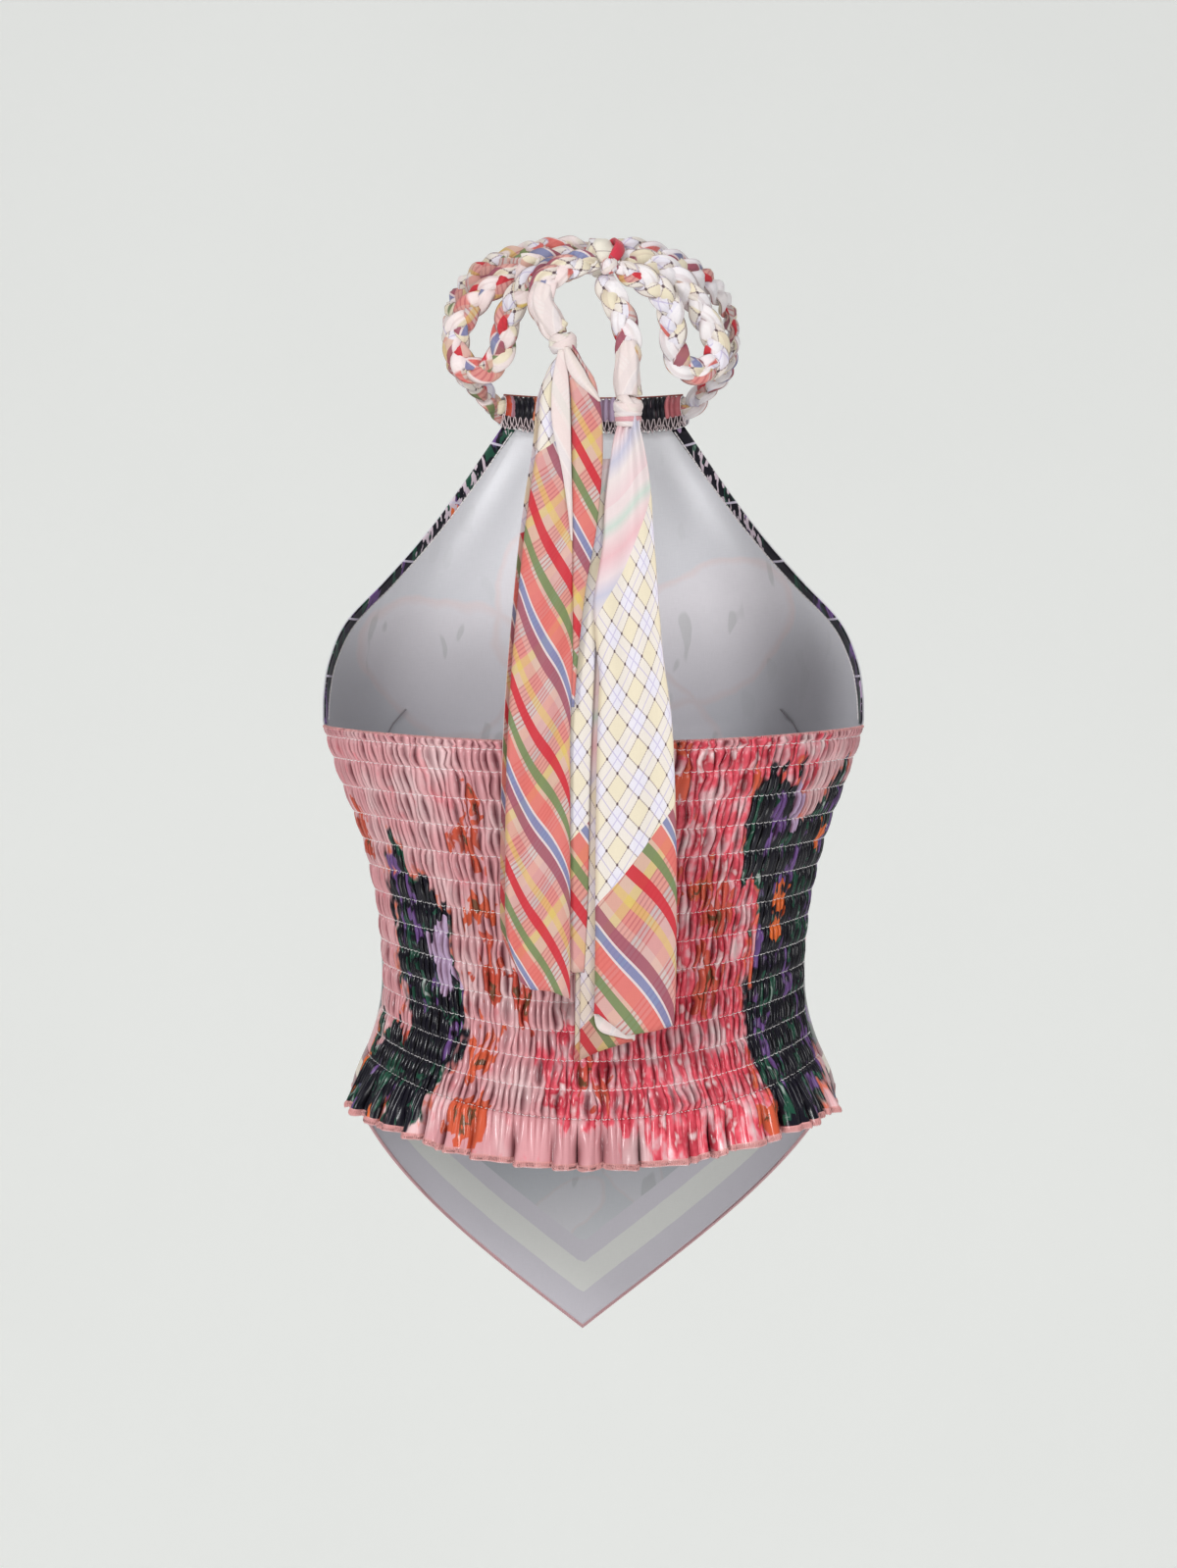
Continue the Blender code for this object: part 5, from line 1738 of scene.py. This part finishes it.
class HALTER_OT_front_panel(bpy.types.Operator):
    """Make the smooth front panel with its armhole hems, darts and overlocked pointed hem"""

    bl_idname = "halter.front_panel"
    bl_label = "Front Panel"

    def execute(self, context):
        sizes = context.scene.halter_sizes
        made = cloths()
        points, uv, from_hem = front_grid()
        panel = cloth_wall("front_satin", points, sizes.cloth, uv,
                           [made.front_print, made.front_reverse], 1.0, 1.0, from_hem)
        finish(panel, "front_satin", "front_panel")
        normal = grid_normals(points)
        below = unit(np.gradient(points, axis=0))
        hem = overlock("front_hem_overlock", points[-1], -below[-1], normal[-1], 0.0024, 0.0012,
                       0.00026, made.hem_thread)
        finish(hem, "front_satin")
        lines = []
        # Each dart is a thin real ridge, coloured as painted shade of its fold
        for side in (-1, 1):
            dart = front_points(side * np.linspace(0.50, 0.80, 24), np.linspace(-0.248, -0.315, 24))
            towards_middle = unit(dart * (1.0, 1.0, 0.0))
            lines.append(dart - towards_middle * (sizes.cloth + 0.0002))
        finish(dashes("bust_darts", lines, 0.0005, made.dart_fold), "front_satin")
        rows = slice(CHEST_ROWS + 1)
        for side, step in (("left", 1), ("right", -1)):
            self.armhole(side, step, (points[rows], normal[rows], uv[rows]), sizes, made)
        return {"FINISHED"}

    def armhole(self, side, step, chest, sizes, made):
        """The turned hem of one armhole and its topstitching, on the panel's reverse side."""
        wide = sizes.armhole_hem * np.interp(np.arange(CHEST_ROWS + 1) / CHEST_ROWS, *ARMHOLE_WIDENING)
        columns = []
        for k in range(ARMHOLE_COLUMNS + 1):
            reach = wide * k / ARMHOLE_COLUMNS - ARMHOLE_OVERHANG
            lift = sizes.cloth * 1.15 + ARMHOLE_PUFF * math.sin(math.pi * k / ARMHOLE_COLUMNS)
            columns.append(self.along_rows(*chest, step, reach, lift))
        strip, flat = (np.stack(part, axis=1) for part in zip(*columns))
        piece = cloth_wall("armhole_hem_" + side, strip, ARMHOLE_CLOTH, flat, [made.armhole_print], -step)
        finish(piece, "front_satin")
        line, _ = self.along_rows(*chest, step, wide * TOPSTITCH_PLACE, sizes.cloth + TOPSTITCH_LIFT)
        run = run_along(line)
        stitches = [points_at(np.linspace(start, start + STITCH_LENGTH, 4), run, line)
                    for start in np.arange(0.001, run[-1] - STITCH_PITCH, STITCH_PITCH)]
        piece = dashes("armhole_topstitch_" + side, stitches, sizes.thread * 1.7, made.thread)
        finish(piece, "front_satin")

    @staticmethod
    def along_rows(points, normal, uv, step, reach, lift):
        """A spot of every row, a given way in from the armhole and lifted off the reverse side.

        A negative way goes straight out past the edge. The flat place of each spot comes with it.
        """
        first = 0 if step > 0 else -1
        spots = []
        for row, across, flat, way in zip(points, normal, uv, reach):
            run = np.abs(flat[:, 0] - flat[first, 0])
            order = slice(None, None, step)
            spot = [np.interp(max(way, 0.0), run[order], row[order, k]) for k in range(3)]
            out = [np.interp(max(way, 0.0), run[order], across[order, k]) for k in range(3)]
            beyond = unit(row[first + 2 * step] - row[first]) * min(way, 0.0)
            spots.append(np.array(spot) + beyond - np.array(out) * lift)
        first_flat = uv[:, first]
        return np.array(spots), first_flat + np.stack((step * reach, np.zeros(len(reach))), axis=-1)


# Shirred back


GATHER_STEPS = (0.0, 0.09, 0.28, 0.50, 0.72, 0.91)
GAP_STEPS = (0.0, 0.07, 0.22, 0.50, 0.78, 0.93)
HEADING_STEPS = (0.0, 0.30, 0.65)

# A stitch of elastic: places across its gather, and how far each lies above the row
STITCH_STEPS = (0.10, 0.35, 0.65, 0.90)
STITCH_DIPS = (0.0002, -0.0003, -0.0003, 0.0002)


class Gathers:
    """The random sizes of every gather between every two rows of elastic."""

    def __init__(self, count, height):
        rng = np.random.default_rng(14)
        gaps = SHIRR_ROWS
        self.count = count
        self.at_row = rng.normal(0, 0.13, (gaps + 1, count + 1))
        self.mid_gap = rng.normal(0, 0.22, (gaps, count + 1))
        self.sway = rng.normal(0, 0.15, (gaps, count + 1))
        self.valley = 0.0002 + 0.0016 * rng.random((gaps, count + 1)) ** 3
        self.ridge = height * (0.62 + 0.38 * rng.random((gaps, count)))
        self.lean = rng.normal(0.05, 0.20, (gaps, count))
        self.pinch = 0.0005 + 0.0003 * rng.random((gaps + 1, count))
        # Painted light: how brightly each puff is lit, at random
        self.puff_lit_share = 0.66 + 0.34 * rng.random((gaps, count)) ** 0.6
        for table in (self.at_row, self.mid_gap, self.sway):
            table[:, 0] = 0.0
            table[:, -1] = 0.0

    def columns(self):
        """Gather number, place in it, and place on the flat cloth, for every column."""
        number = np.repeat(np.arange(self.count), len(GATHER_STEPS))
        place = np.tile(GATHER_STEPS, self.count)
        number = np.append(number, self.count - 1)
        place = np.append(place, 1.0)
        flat = number + place + 0.09 * np.sin(2 * np.pi * place)
        return number, place, flat

    def row(self, gap, share):
        """Turn and height of one row of points, at a share of the way down a gap."""
        number, place, flat = self.columns()
        lift = math.sin(math.pi * share) ** 0.55 if 0.0 < share < 1.0 else 0.0
        line = (np.arange(self.count + 1) + self.at_row[gap] * (1 - share) + self.at_row[gap + 1] * share
                + self.mid_gap[gap] * math.sin(math.pi * share)
                + self.sway[gap] * math.sin(2 * math.pi * share))
        crown = np.sin(np.pi * place)
        index = (line[number] * (1 - place) + line[number + 1] * place
                 + self.lean[gap][number] * lift * crown)
        low = self.valley[gap][number] * (1 - place) + self.valley[gap][number + 1] * place
        puff = low + (self.ridge[gap][number] - low) * np.clip(crown, 0, 1) ** 0.62
        pinch = self.pinch[gap][number] * (1 - share) + self.pinch[gap + 1][number] * share
        out = 0.0002 + pinch * crown * (1 - lift) + puff * lift
        turn = 2 * index / self.count - 1
        hold = 1 - np.abs(turn) ** 30
        # Painted shade: dark deep in the valleys between puffs, darker on the side away from each puff's
        # lean, and lit to each puff's own share
        deep = 1 - low / np.maximum(self.ridge[gap][number], 1e-6)
        shaded = np.clip(crown + 0.45 * (place - 0.5) * np.sign(self.lean[gap][number]), 0, 1)
        unshaded = np.clip(1 - deep * (1 - shaded ** 1.9) * (0.40 + 0.85 * lift), 0, 1)
        unshaded = unshaded * (1 - (1 - self.puff_lit_share[gap][number]) * lift)
        return turn, out * hold, 2 * flat / self.count - 1, unshaded


class HALTER_OT_back_panel(bpy.types.Operator):
    """Make the shirred back with its elastic thread, its frill and the frill's overlocked edge"""

    bl_idname = "halter.back_panel"
    bl_label = "Shirred Back"

    def execute(self, context):
        sizes = context.scene.halter_sizes
        made = cloths()
        gathers = Gathers(sizes.gathers, sizes.gather_height)
        heights = shirr_heights()
        rows = []
        for gap in range(SHIRR_ROWS):
            for share in HEADING_STEPS if gap == 0 else GAP_STEPS:
                rows.append(self.row(gathers, heights, gap, share, sizes))
        rows.append(self.row(gathers, heights, SHIRR_ROWS - 1, 1.0, sizes))
        points, uv, unshaded = (np.array(part) for part in zip(*rows))
        body = cloth_wall("back_shirring", points, sizes.cloth, uv,
                          [made.print_side, made.reverse_side], -1.0, unshaded)
        finish(body, "floral_satin", "back_panel")
        normal = grid_normals(points)
        down = unit(np.gradient(points, axis=0))
        rim = overlock("back_top_overlock", points[0], down[0], normal[0], 0.0016, 0.0008, 0.00022,
                       made.overlock)
        finish(rim, "floral_satin")
        self.elastic(gathers, heights, sizes, made)
        self.frill(gathers, heights, sizes, made, points[-1], uv[-1])
        return {"FINISHED"}

    def row(self, gathers, heights, gap, share, sizes):
        """Points, flat coordinates and painted fold shade of one row across the panel."""
        turn, out, flat, unshaded = gathers.row(gap, share)
        centre_z = heights[gap] + (heights[gap + 1] - heights[gap]) * share
        if gap == 0:
            out = out * 0.55 + 0.0003
        uv = np.stack((flat * sizes.back_flat_width / 2, np.full(len(flat), centre_z)), axis=-1)
        return back_points(centre_z, turn, out), uv, unshaded

    def elastic(self, gathers, heights, sizes, made):
        """Running stitches of each row, one over each gather."""
        rng = random.Random(3)
        ends = (*GATHER_STEPS, 1.0)
        lines = []
        for k in range(1, SHIRR_ROWS + 1):
            share = 0.0 if k < SHIRR_ROWS else 1.0
            turn, out, _, _ = gathers.row(min(k, SHIRR_ROWS - 1), share)
            for i in range(gathers.count):
                own = slice(i * len(GATHER_STEPS), (i + 1) * len(GATHER_STEPS) + 1)
                lift = np.interp(STITCH_STEPS, ends, out[own]) + sizes.cloth / 2 + 0.0002
                dip = np.array(STITCH_DIPS) + rng.uniform(-0.0002, 0.0002)
                lines.append(back_points(heights[k], np.interp(STITCH_STEPS, ends, turn[own]), lift, -dip))
        stitches = dashes("elastic_stitches", lines, sizes.thread, made.thread)
        finish(stitches, "floral_satin")

    def frill(self, gathers, heights, sizes, made, top, top_uv):
        """The frill opens from the last row of elastic into flat pleats with narrow folds between."""
        rng = np.random.default_rng(5)
        turn, out, _, unshaded_top = gathers.row(SHIRR_ROWS - 1, 1.0)
        place = gathers.columns()[1]
        pleats = sizes.frill_pleats
        starts = (np.arange(pleats + 1) + rng.normal(0, 0.20, pleats + 1)) / pleats * 2 - 1
        starts[0], starts[-1] = -1.05, 1.05
        depth = rng.uniform(0.45, 1.0, pleats + 1)
        reach = rng.uniform(0.35, 1.0, pleats + 1)
        tilt = rng.choice((-1.0, 1.0), pleats)
        # Painted light: how brightly each pleat's facet is lit, at random
        tone = 0.72 + 0.28 * rng.random(pleats) ** 0.5
        slot = np.clip(np.searchsorted(starts, turn) - 1, 0, pleats - 1)
        part = (turn - starts[slot]) / (starts[slot + 1] - starts[slot])
        rows = []
        flats = []
        folds = []
        for s in range(FRILL_STEPS + 1):
            share = s / FRILL_STEPS
            width = 0.070 + 0.13 * (1 - share)
            apart = np.abs(turn[:, None] - starts[None]) * pleats / 2
            held = np.clip((share - 0.35 * (1 - reach)) / 0.5, 0, 1)
            groove = (depth * held)[None] * np.exp(-((apart / width) ** 2))
            groove = groove.max(axis=1)
            fine = out * (1 - share) ** 3
            fine = fine + 0.0024 * np.sin(np.pi * place) ** 0.7 * share**0.4 * math.exp(-3.3 * share) * 2.0
            plateau = FRILL_STAND * share**1.1 + FRILL_WAVE * np.sin(2 * np.pi * part * 1.5 + slot) * share
            lean = tilt[slot] * (part - 0.5) * FRILL_LEAN * share
            hold = 1 - np.abs(turn) ** 14
            spread = fine + hold * (plateau + lean - FRILL_GROOVE * groove * share**0.7)
            edge = (tilt[slot] * (part - 0.5) * FRILL_EDGE_SLANT - FRILL_EDGE_DIP * groove) * share
            rows.append(back_points(heights[-1], turn, spread, FRILL_DROP * share + edge))
            flats.append(top_uv + np.array((0.0, -FRILL_DROP * share)))
            # Painted shade: the gathers' shade fades down the frill, each facet is lit to its own tone,
            # and the narrow folds between pleats are dark
            crease = 1 - (1 - unshaded_top) * (1 - share) ** 2.4
            facet_shade = 1 - (1 - tone[slot]) * min(1.0, 1.6 * share)
            folds.append(crease * facet_shade * (1 - 0.92 * np.clip(groove * 1.25, 0, 1)))
        rows[0] = top
        points = np.array(rows)
        from_hem = FRILL_DROP * (1 - np.arange(FRILL_STEPS + 1) / FRILL_STEPS)
        from_hem = np.repeat(from_hem[:, None], len(turn), axis=1)
        frill = cloth_wall("back_frill", points, sizes.cloth, np.array(flats),
                           [made.frill_print, made.reverse_side], -1.0, np.array(folds), from_hem)
        finish(frill, "floral_satin")
        normal = grid_normals(points)
        up = -unit(np.gradient(points, axis=0))
        hem = overlock("frill_overlock", points[-1], up[-1], normal[-1], 0.0034, 0.0010, 0.00030,
                       made.overlock)
        finish(hem, "floral_satin")


class HALTER_OT_neck_casing(bpy.types.Operator):
    """Make the gathered drawstring channel with the looped stitching of its lower edge"""

    bl_idname = "halter.neck_casing"
    bl_label = "Neck Casing"

    def execute(self, context):
        made = cloths()
        rng = np.random.default_rng(9)
        x = np.linspace(-CASING_HALF_WIDTH, CASING_HALF_WIDTH, CASING_RINGS + 1)
        centre = casing_line(x)
        _, outward, up = frames_along(centre, np.tile((0.0, 0.0, 1.0), (CASING_RINGS + 1, 1)))
        angle = angles_round(CASING_SIDES)
        gathers = np.cumsum(rng.uniform(0.6, 1.5, CASING_GATHERS))
        phase = np.interp(x, np.linspace(x[0], x[-1], CASING_GATHERS), 2 * np.pi * gathers)
        fold = np.cos(phase) * np.interp(x, np.linspace(x[0], x[-1], 30), rng.uniform(0.35, 1.0, 30))
        fold = fold + 0.35 * np.cos(phase * 0.31 + 1.0)
        hold = 1 - (np.abs(x) / CASING_HALF_WIDTH) ** 10
        scale = 1 - 0.10 * (np.abs(x) / CASING_HALF_WIDTH) ** 6
        swell = CASING_SWELL * fold * hold
        high = (CASING_HALF_HEIGHT - 0.0005) * scale
        deep = (CASING_HALF_DEPTH - 0.0005) * scale
        wave = swell[:, None] * (0.75 + 0.25 * np.cos(2 * angle))
        points = rings_along(centre, up, -outward, (high[:, None] + wave) * np.cos(angle),
                             (deep[:, None] + wave) * np.sin(angle))
        points = np.concatenate((points, points[:, :1]), axis=1)
        even = np.zeros((CASING_RINGS + 1, CASING_SIDES + 1))
        around = np.linspace(0, 0.055, CASING_SIDES + 1)[None] + even
        uv = np.stack((x[:, None] * 2.0 + even, around), axis=-1)
        # Painted shade in the hollows of the casing's gathers
        unshaded = np.clip(0.58 + 0.52 * fold * hold, 0.05, 1.0)[:, None] + even
        from_foot = high[:, None] * (1 + np.cos(2 * np.pi * np.arange(CASING_SIDES + 1) / CASING_SIDES))
        casing = cloth_wall("casing_gathers", points, CASING_CLOTH, uv,
                            [made.casing_print, made.reverse_side], -1.0, unshaded, from_foot)
        finish(casing, "casing_satin", "neck_casing")
        back = np.tile((0.0, -1.0, 0.0), (CASING_RINGS + 1, 1))
        foot = centre + up * (0.0062 - high)[:, None] + back * (0.86 * deep + 0.0008)[:, None]
        below = np.tile((0.0, 0.0, -1.0), (CASING_RINGS + 1, 1))
        lace = overlock("casing_lace", foot, below, back, 0.0058, 0.0033, 0.00032, made.lace_thread,
                        height=0.0008, cross=True)
        finish(lace, "casing_satin")
        scallop = 0.0006 * np.sin(2 * np.pi * x / 0.0115)[:, None] * np.array((0.0, 0.0, 1.0))
        seam = overlock("casing_seam_loops", foot + scallop + np.array((0.0, 0.0, -0.0048)), below, back,
                        0.0030, 0.0027, 0.00036, made.lace_thread, height=0.0008)
        finish(seam, "casing_satin")
        crest = centre + up * (high + 0.0007)[:, None] + back * 0.0012
        ridge = joined_tubes("casing_top_edge", [round_tube(crest, 0.0005, 5)], [made.casing_edge])
        finish(ridge, "casing_satin")
        return {"FINISHED"}


class HALTER_OT_tail_cloths(bpy.types.Operator):
    """Make the two folded ends of the tie that hang down the back"""

    bl_idname = "halter.tail_cloths"
    bl_label = "Tail Cloths"

    def execute(self, context):
        sizes = context.scene.halter_sizes
        made = cloths()
        plans = (
            ("left", CLOTH_LEFT, FOLDS_LEFT, made.tail_left, (0.085, 0.345), 2),
            ("right", CLOTH_RIGHT, FOLDS_RIGHT, made.tail_right, (0.110, 0.332), 6),
        )
        for side, table, folds, mat, flat, seed in plans:
            points, uv, unshaded = self.folded(
                table, folds, TAIL_ENDS[side], FRONT_SLIDES[side], seed)
            piece = cloth_wall("tail_cloth_" + side + "_folds", points, sizes.tail_cloth, uv,
                               [mat, made.tie_reverse], 1.0, unshaded)
            finish(piece, "tie_cotton", "tail_cloth_" + side)
            edges = [self.turned(name, table, made) for name in TURNED_EDGES if name.startswith(side)]
        return {"FINISHED"}

    def turned(self, name, table, made):
        """A fold of the cloth that lies on a tail, from its own table."""
        edge = TURNED_EDGES[name]
        shape = Columns(edge["shape"])
        z = np.linspace(edge["shape"][1][0], edge["shape"][-1][0], TURNED_ROWS)
        left, right, lift = (column[:, None] for column in shape.at(z))
        middle = Columns(table).at(z)[2][:, None]
        across = np.linspace(1.0, 0.0, TURNED_COLUMNS)[None]
        x = left + (right - left) * across
        y = middle - 1.15 * LAYER_STEP - lift - edge["bulge"] * np.sin(np.pi * across)
        points = stacked(x, y, z[:, None])
        uv = np.stack((x + edge["print_shift"], z[:, None] + np.zeros_like(x)), axis=-1)
        # Painted shade: darker along the fold's left edge, where it turns
        unshaded = np.clip(0.25 + 5 * across, 0, 1) + np.zeros_like(x)
        printed = made.tail_left if name.startswith("left") else made.tail_right
        mats = [printed if edge["printed"] else made.tie_reverse, made.tie_reverse]
        piece = cloth_wall("tail_" + name, points, TURNED_CLOTH, uv, mats, 1.0, unshaded)
        return finish(piece, "tie_cotton")

    def folded(self, table, folds, ends, slide, seed):
        """Points and flat coordinates of a tail, folded lengthwise and hanging open."""
        rng = np.random.default_rng(seed)
        route = smooth_route([(a, layer * 0.1, 0.0) for a, layer in folds[1:]], 0.014)
        across = np.array([p.x for p in route])
        layer = np.array([p.y for p in route]) / 0.1
        z = np.linspace(table[1][0], table[-1][0], TAIL_ROWS)
        left, right, middle = (column[:, None] for column in Columns(table).at(z))
        widest = max(line[2] - line[1] for line in table[1:])
        run = run_along(np.stack((across, layer * 0.05), axis=-1))
        down = (z - z[0])[:, None]
        phase = rng.uniform(0, 6, 4)
        ripple = 0.0006 * np.sin(across[None] * 9 + down * 14 + phase[0])
        ripple = ripple + 0.0005 * np.sin(across[None] * 17 - down * 23 + phase[1])
        gather = np.exp(down / 0.030)
        ripple = ripple + 0.0012 * gather * np.sin(across[None] * 26 + phase[2])
        slid = slide * (1 - across) * np.clip(2 * layer, 0, 1)
        slid = slid[None] * np.interp(z, SLIDE_HEIGHTS, (0.0, 1.0))[:, None]
        x = left + (right - left) * (across[None] - slid)
        y = middle - layer[None] * LAYER_STEP * (1 - 0.35 * gather) + ripple
        near_end = np.clip(1 - (down - down[-1]) / TAIL_END_LENGTH, 0, 1) ** 1.3
        place, front, back = (np.array(column) for column in zip(*ends[1:]))
        share = np.clip(0.5 + layer, 0, 1)
        rise = share * np.interp(across, place, front) + (1 - share) * np.interp(across, place, back)
        shaped = z[:, None] + near_end * rise[None]
        sag = -0.004 * np.sin(5.0 * across)[None] - 0.006 * (1.0 - layer)[None] / 2
        heights = shaped + sag * (1 - near_end)
        start = min(line[1] for line in table[1:])
        # The print runs evenly round the hidden folds and closes up at the sides of the top layer
        place = 1.0 - run
        curled = np.arcsin(np.clip(2 * place - 1, -1, 1)) / np.pi + 0.5
        place = np.where((place > 0) & (place < 1), 0.45 * place + 0.55 * curled, place)
        u = start + widest * 1.12 * place[None] + np.zeros_like(x)
        uv = np.stack((u, shaped), axis=-1)
        # Painted shade: the lower layers are darker, as shade falls between the layers
        unshaded = np.interp(layer, (-1.1, -0.9, 0.0, 0.9, 1.0), (0.5, 0.6, 0.75, 0.80, 1.0))
        return stacked(x, y, heights), uv, unshaded[None] + np.zeros_like(x)


# Studio

LIGHTS = (
    ("name", "place", "size", "power"),
    ("key", (-1.3, -2.1, 0.8), 0.5, 30.0),
    ("fill", (1.6, -2.0, 0.2), 1.0, 17.0),
    ("low", (-0.3, -2.2, -1.2), 0.9, 12.0),
    ("top", (0.0, -0.6, 1.8), 1.0, 9.0),
)
LIGHT_AIM = Vector((0.0, 0.0, -0.28))
WORLD_STRENGTH = 0.26
PAPER_GLOW = 0.36
FLOOR_Z = -1.45
WALL_Y = 2.9
PAPER_BEND = 0.22
BEND_STEPS = 12


class HALTER_OT_stage(bpy.types.Operator):
    """Set up the camera, the pale floor and backdrop, and the soft lights"""

    bl_idname = "halter.stage"
    bl_label = "Studio"

    def execute(self, context):
        scene = context.scene
        camera = bpy.data.cameras.new("photo_camera")
        camera.sensor_fit = "VERTICAL"
        camera.sensor_height = SENSOR_HEIGHT
        camera.lens = SENSOR_HEIGHT * CAMERA_DISTANCE / PICTURE_HEIGHT
        holder = linked("photo_camera", camera)
        holder.location = (CAMERA_X, -CAMERA_DISTANCE, CAMERA_Z)
        holder.rotation_euler = (math.radians(90), 0.0, 0.0)
        scene.camera = holder
        self.backdrop(scene)
        for light in LIGHTS[1:]:
            self.light(*light)
        world = bpy.data.worlds.new("studio")
        world.use_nodes = True
        background = world.node_tree.nodes["Background"]
        background.inputs["Color"].default_value = (1.0, 1.0, 1.0, 1.0)
        background.inputs["Strength"].default_value = WORLD_STRENGTH
        scene.world = world
        scene.view_settings.view_transform = "Standard"
        return {"FINISHED"}

    def backdrop(self, scene):
        """Pale paper that runs from the floor up the wall in one bend."""
        profile = [(-6.0, FLOOR_Z), (WALL_Y - PAPER_BEND, FLOOR_Z)]
        for k in range(1, BEND_STEPS + 1):
            angle = math.pi / 2 * k / BEND_STEPS
            profile.append((WALL_Y - PAPER_BEND + PAPER_BEND * math.sin(angle),
                            FLOOR_Z + PAPER_BEND * (1 - math.cos(angle))))
        profile.append((WALL_Y, 4.0))
        grid = np.array([[(x, y, z) for x in (-7.0, 7.0)] for y, z in profile])
        mat, r, shader = new_material("studio_paper", 0.9)
        coords = r.node("ShaderNodeTexCoord").outputs["Object"]
        tone = r.mix(r.noise(coords, 3.0, 2.0), *shades(scene.halter_colours.backdrop, 0.985, 1.015))
        r.put(shader, Base_Color=tone, Emission_Color=tone, Emission_Strength=PAPER_GLOW)
        faces = grid_faces(len(profile), 2, turned=True)
        uv = grid[..., :2].reshape(-1, 2)[faces.ravel()]
        paper = mesh_object("studio_paper", grid, faces.tolist(), uv, [mat])

    def light(self, name, place, size, power):
        lamp = bpy.data.lights.new(name, "AREA")
        lamp.shape = "DISK"
        lamp.size = size
        lamp.energy = power
        holder = linked(name, lamp)
        holder.location = place
        aim = LIGHT_AIM - Vector(place)
        holder.rotation_euler = aim.to_track_quat("-Z", "Y").to_euler()


class HALTER_PT_panel(bpy.types.Panel):
    """Lists the pieces of the top and its sizes"""

    bl_idname = "HALTER_PT_panel"
    bl_label = "Halter Top"
    bl_space_type = "VIEW_3D"
    bl_region_type = "UI"
    bl_category = "Halter Top"

    def draw(self, context):
        for operator in OPERATORS:
            self.layout.operator(operator.bl_idname)
        for group in (context.scene.halter_sizes, context.scene.halter_colours):
            box = self.layout.box()
            for key in group.__annotations__:
                box.prop(group, key)


OPERATORS = (
    HALTER_OT_stage,
    HALTER_OT_neck_plaits,
    HALTER_OT_front_panel,
    HALTER_OT_back_panel,
    HALTER_OT_neck_casing,
    HALTER_OT_tail_cloths,
)
CLASSES = (HalterSizes, HalterColours, *OPERATORS, HALTER_PT_panel)


def register():
    for item in CLASSES:
        bpy.utils.register_class(item)
    bpy.types.Scene.halter_sizes = bpy.props.PointerProperty(type=HalterSizes)
    bpy.types.Scene.halter_colours = bpy.props.PointerProperty(type=HalterColours)


def unregister():
    del bpy.types.Scene.halter_colours
    del bpy.types.Scene.halter_sizes
    for item in reversed(CLASSES):
        bpy.utils.unregister_class(item)


def main():
    register()
    bpy.ops.halter.stage()
    bpy.ops.halter.neck_plaits()
    bpy.ops.halter.front_panel()
    bpy.ops.halter.back_panel()
    bpy.ops.halter.neck_casing()
    bpy.ops.halter.tail_cloths()


if __name__ == "__main__":
    main()
